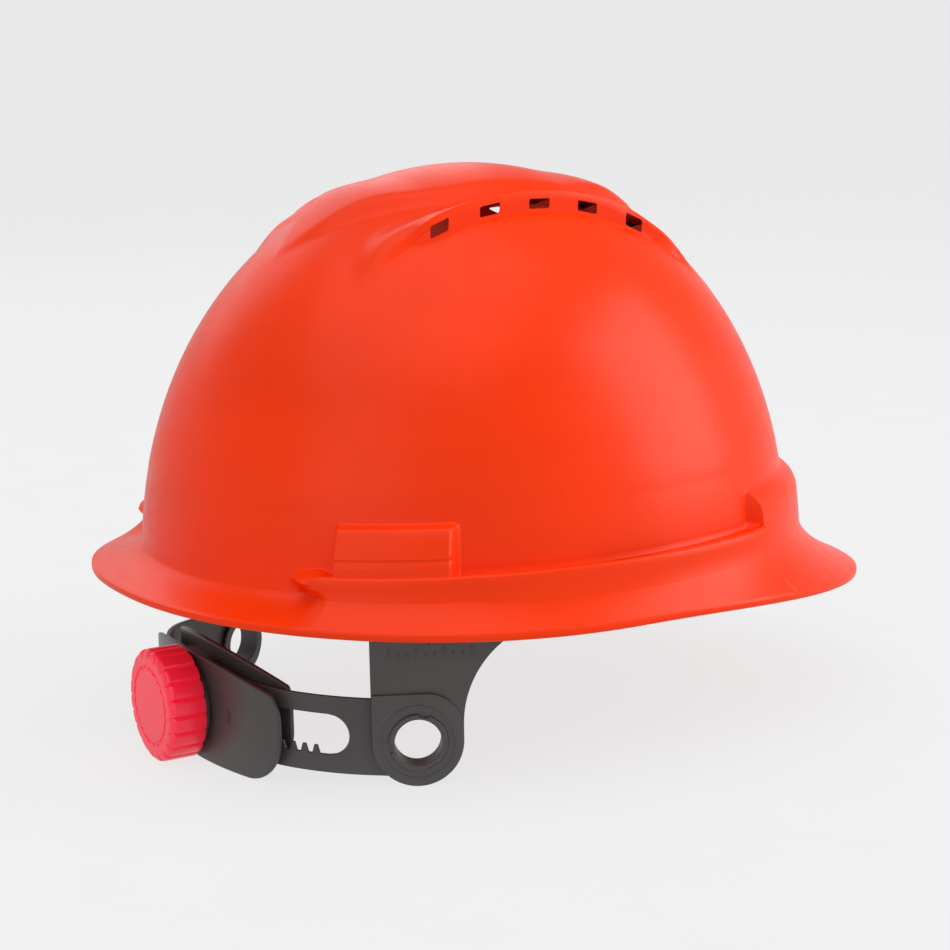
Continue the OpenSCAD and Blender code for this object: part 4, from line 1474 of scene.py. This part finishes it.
class HELMET_OT_pads(bpy.types.Operator):
    """Builds the sewn brow pad and the nape pad"""

    bl_idname = "helmet.pads"
    bl_label = "Brow and nape pads"

    def execute(self, context):
        path = band_path()
        middle = (path.lengths[0] + path.end) / 2
        half = 74.0
        outline = self.rounded(middle - half, middle + half, -5.2, 25.2, 5)

        def brow_place(s, z, out):
            return path.place(s, z, out - 3.2)

        channels = [middle + k * 24.6 for k in (-2.5, -1.5, -0.5, 0.5, 1.5, 2.5)]
        brow = pad("brow_pad_lining", [outline], 3.0, 0.9, channels, 0.45, brow_place)
        finish_piece(brow, "shell", "pad_fabric", pad_finish(), "brow_pad")
        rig.padded(brow, fill=0.5)
        outline = self.rounded(-41, 41, -48, -21, 10)
        holes = [circle_points(0, RATCHET_Z, 7.4, 28)]
        holes += [circle_points(y, RATCHET_Z, 4.4, 20) for y in (-SCREW_Y, SCREW_Y)]

        def nape_place(y, z, out):
            return arc_place(PLATE_X + 2.1, 98.2)(y, z, out + 1.85)

        nape = pad("nape_pad_lining", [outline, *holes], 2.6, 0.6, [-32, 32], 0.3, nape_place)
        finish_piece(nape, "ratchet", "pad_fabric", pad_finish(), "nape_pad")
        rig.padded(nape, fill=0.6)
        return {"FINISHED"}

    def rounded(self, left, right, low, high, corner):
        edge = circle_points(right - corner, low + corner, corner, 8, -90, 0)
        edge += circle_points(right - corner, high - corner, corner, 8, 0, 90)
        edge += circle_points(left + corner, high - corner, corner, 8, 90, 180)
        return edge + circle_points(left + corner, low + corner, corner, 8, 180, 270)


# ---------------------------------------------------------------- kept CAD pieces


class HELMET_OT_fittings(bpy.types.Operator):
    """Gives the keys, drive parts and screws their finishes"""

    bl_idname = "helmet.fittings"
    bl_label = "Keys, drive and screws"

    def execute(self, context):
        finishes = {
            "key_": band_finish,
            "detent_spring": drive_finish,
            "drive_pinion": drive_finish,
            "knob_screw": steel_finish,
            "knob_washer": steel_finish,
            "cover_screws": steel_finish,
        }
        for name, obj in frame["nodes"].items():
            for start, finish in finishes.items():
                if name.startswith(start):
                    obj.data.materials.clear()
                    obj.data.materials.append(finish())
        return {"FINISHED"}


# ---------------------------------------------------------------- stage


def area_light(name, place, target, size, power):
    deselect()
    bpy.ops.object.light_add(type="AREA", location=place)
    light = bpy.context.object
    light.name = name
    light.data.shape = "RECTANGLE"
    light.data.size, light.data.size_y = size
    light.data.energy = power
    aim = Vector(target) - Vector(place)
    light.rotation_euler = aim.to_track_quat("-Z", "Y").to_euler()
    return light


class HELMET_OT_stage(bpy.types.Operator):
    """Sets the camera, the pale floor and the soft studio lights"""

    bl_idname = "helmet.stage"
    bl_label = "Stage"

    def execute(self, context):
        options = settings().stage
        scene = context.scene
        deselect()
        bpy.ops.object.camera_add(location=(-0.3992, -0.6788, 0.2418))
        camera = context.object
        camera.name = "studio_camera"
        right, up = (0.8615, -0.5072, -0.0197), (0.1170, 0.1607, 0.9800)
        back = (-0.494, -0.8467, 0.1978)
        turn = Matrix((right, up, back)).transposed().to_4x4()
        camera.matrix_world = Matrix.Translation(camera.location) @ turn
        camera.data.lens = 84.3
        camera.data.sensor_width = 36
        scene.camera = camera
        bowl = [(0, 0), (3000, 0), (3400, 50), (3700, 180), (3900, 420), (4000, 800), (4020, 1300)]
        bowl += [(4100, 1300), (4100, -40), (0, -40)]
        floor = spun("studio_floor", bowl, 96)
        smooth_by_angle(floor, 40)
        floor.data.materials.append(floor_finish())
        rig.stage(floor)
        world = bpy.data.worlds.new("studio_world")
        world.use_nodes = True
        background = world.node_tree.nodes["Background"]
        background.inputs["Color"].default_value = (0.93, 0.95, 1.0, 1)
        background.inputs["Strength"].default_value = options.ambient
        scene.world = world
        middle = (0, 0, 0.1)
        area_light("key_softbox", (1.1, -0.75, 0.6), middle, (0.8, 1.1), 12 * options.power)
        area_light("top_softbox", (-0.3, -0.3, 1.5), middle, (2.0, 1.6), 13 * options.power)
        area_light("left_softbox", (-1.3, -0.9, 0.7), middle, (1.2, 1.2), 3.6 * options.power)
        area_light("back_softbox", (0.1, 1.4, 0.9), middle, (1.6, 0.9), 4 * options.power)
        scene.view_settings.view_transform = "Standard"
        return {"FINISHED"}


# ---------------------------------------------------------------- add-on


class ShellSettings(bpy.types.PropertyGroup):
    colour: FloatVectorProperty(name="Colour", description="Colour of the shell's plastic",
                                subtype="COLOR", size=3, min=0, max=1, default=(0.88, 0.037, 0.0))
    vents: IntProperty(name="Vents", description="Vents in each ridge", default=5, min=3, max=6)


class BandSettings(bpy.types.PropertyGroup):
    colour: FloatVectorProperty(name="Colour", description="Colour of the headband's plastic",
                                subtype="COLOR", size=3, min=0, max=1, default=(0.073, 0.067, 0.066))
    thickness: FloatProperty(name="Thickness", description="Thickness of the headband",
                             subtype="DISTANCE", unit="LENGTH", default=0.0018, min=0.001, max=0.003)


class KnobSettings(bpy.types.PropertyGroup):
    colour: FloatVectorProperty(name="Colour", description="Colour of the ratchet's knob",
                                subtype="COLOR", size=3, min=0, max=1, default=(0.96, 0.014, 0.05))
    grooves: IntProperty(name="Grooves", description="Grip grooves around the knob", default=20,
                         min=12, max=30)


class StrapSettings(bpy.types.PropertyGroup):
    colour: FloatVectorProperty(name="Webbing", description="Colour of the crown straps",
                                subtype="COLOR", size=3, min=0, max=1, default=(0.05, 0.05, 0.055))
    pad_colour: FloatVectorProperty(name="Pads", description="Colour of the pads' lining",
                                    subtype="COLOR", size=3, min=0, max=1, default=(0.035, 0.035, 0.04))


class StageSettings(bpy.types.PropertyGroup):
    power: FloatProperty(name="Light power", description="Power of the soft lights", default=1.0,
                         min=0.1, max=5)
    ambient: FloatProperty(name="Ambient", description="Strength of the room's light", default=0.42,
                           min=0, max=3)


class HelmetSettings(bpy.types.PropertyGroup):
    shell: PointerProperty(name="Shell", description="Shell", type=ShellSettings)
    band: PointerProperty(name="Headband", description="Headband", type=BandSettings)
    knob: PointerProperty(name="Knob", description="Ratchet knob", type=KnobSettings)
    straps: PointerProperty(name="Straps", description="Straps and pads", type=StrapSettings)
    stage: PointerProperty(name="Stage", description="Lights", type=StageSettings)


GROUPS = (ShellSettings, BandSettings, KnobSettings, StrapSettings, StageSettings, HelmetSettings)
OPERATORS = tuple(
    kind for name, kind in sorted(globals().items()) if name.startswith("HELMET_OT_")
)


class HELMET_PT_panel(bpy.types.Panel):
    """Lists the helmet's pieces and their settings"""

    bl_idname = "HELMET_PT_panel"
    bl_label = "Safety Helmet"
    bl_space_type = "VIEW_3D"
    bl_region_type = "UI"
    bl_category = "Helmet"

    def draw(self, context):
        options = context.scene.helmet
        for group in (options.shell, options.band, options.knob, options.straps, options.stage):
            box = self.layout.box()
            for key in group.__annotations__:
                box.prop(group, key)
        for kind in OPERATORS:
            self.layout.operator(kind.bl_idname)


def register():
    for kind in (*GROUPS, *OPERATORS, HELMET_PT_panel):
        bpy.utils.register_class(kind)
    bpy.types.Scene.helmet = PointerProperty(name="Helmet", description="Helmet", type=HelmetSettings)


def unregister():
    del bpy.types.Scene.helmet
    for kind in reversed((*GROUPS, *OPERATORS, HELMET_PT_panel)):
        bpy.utils.unregister_class(kind)


ORDER = ("stage", "shell", "headband", "bushes", "arms", "ratchet", "knob", "straps", "pads", "fittings")


def main():
    register()
    for name in ORDER:
        getattr(bpy.ops.helmet, name)()
    deselect()
    with open("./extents.json", "w") as out:
        json.dump({"cad": [list(v) for v in CAD_BOX], "visual": [list(v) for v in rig.bounds()]}, out)


if __name__ == "__main__":
    main()
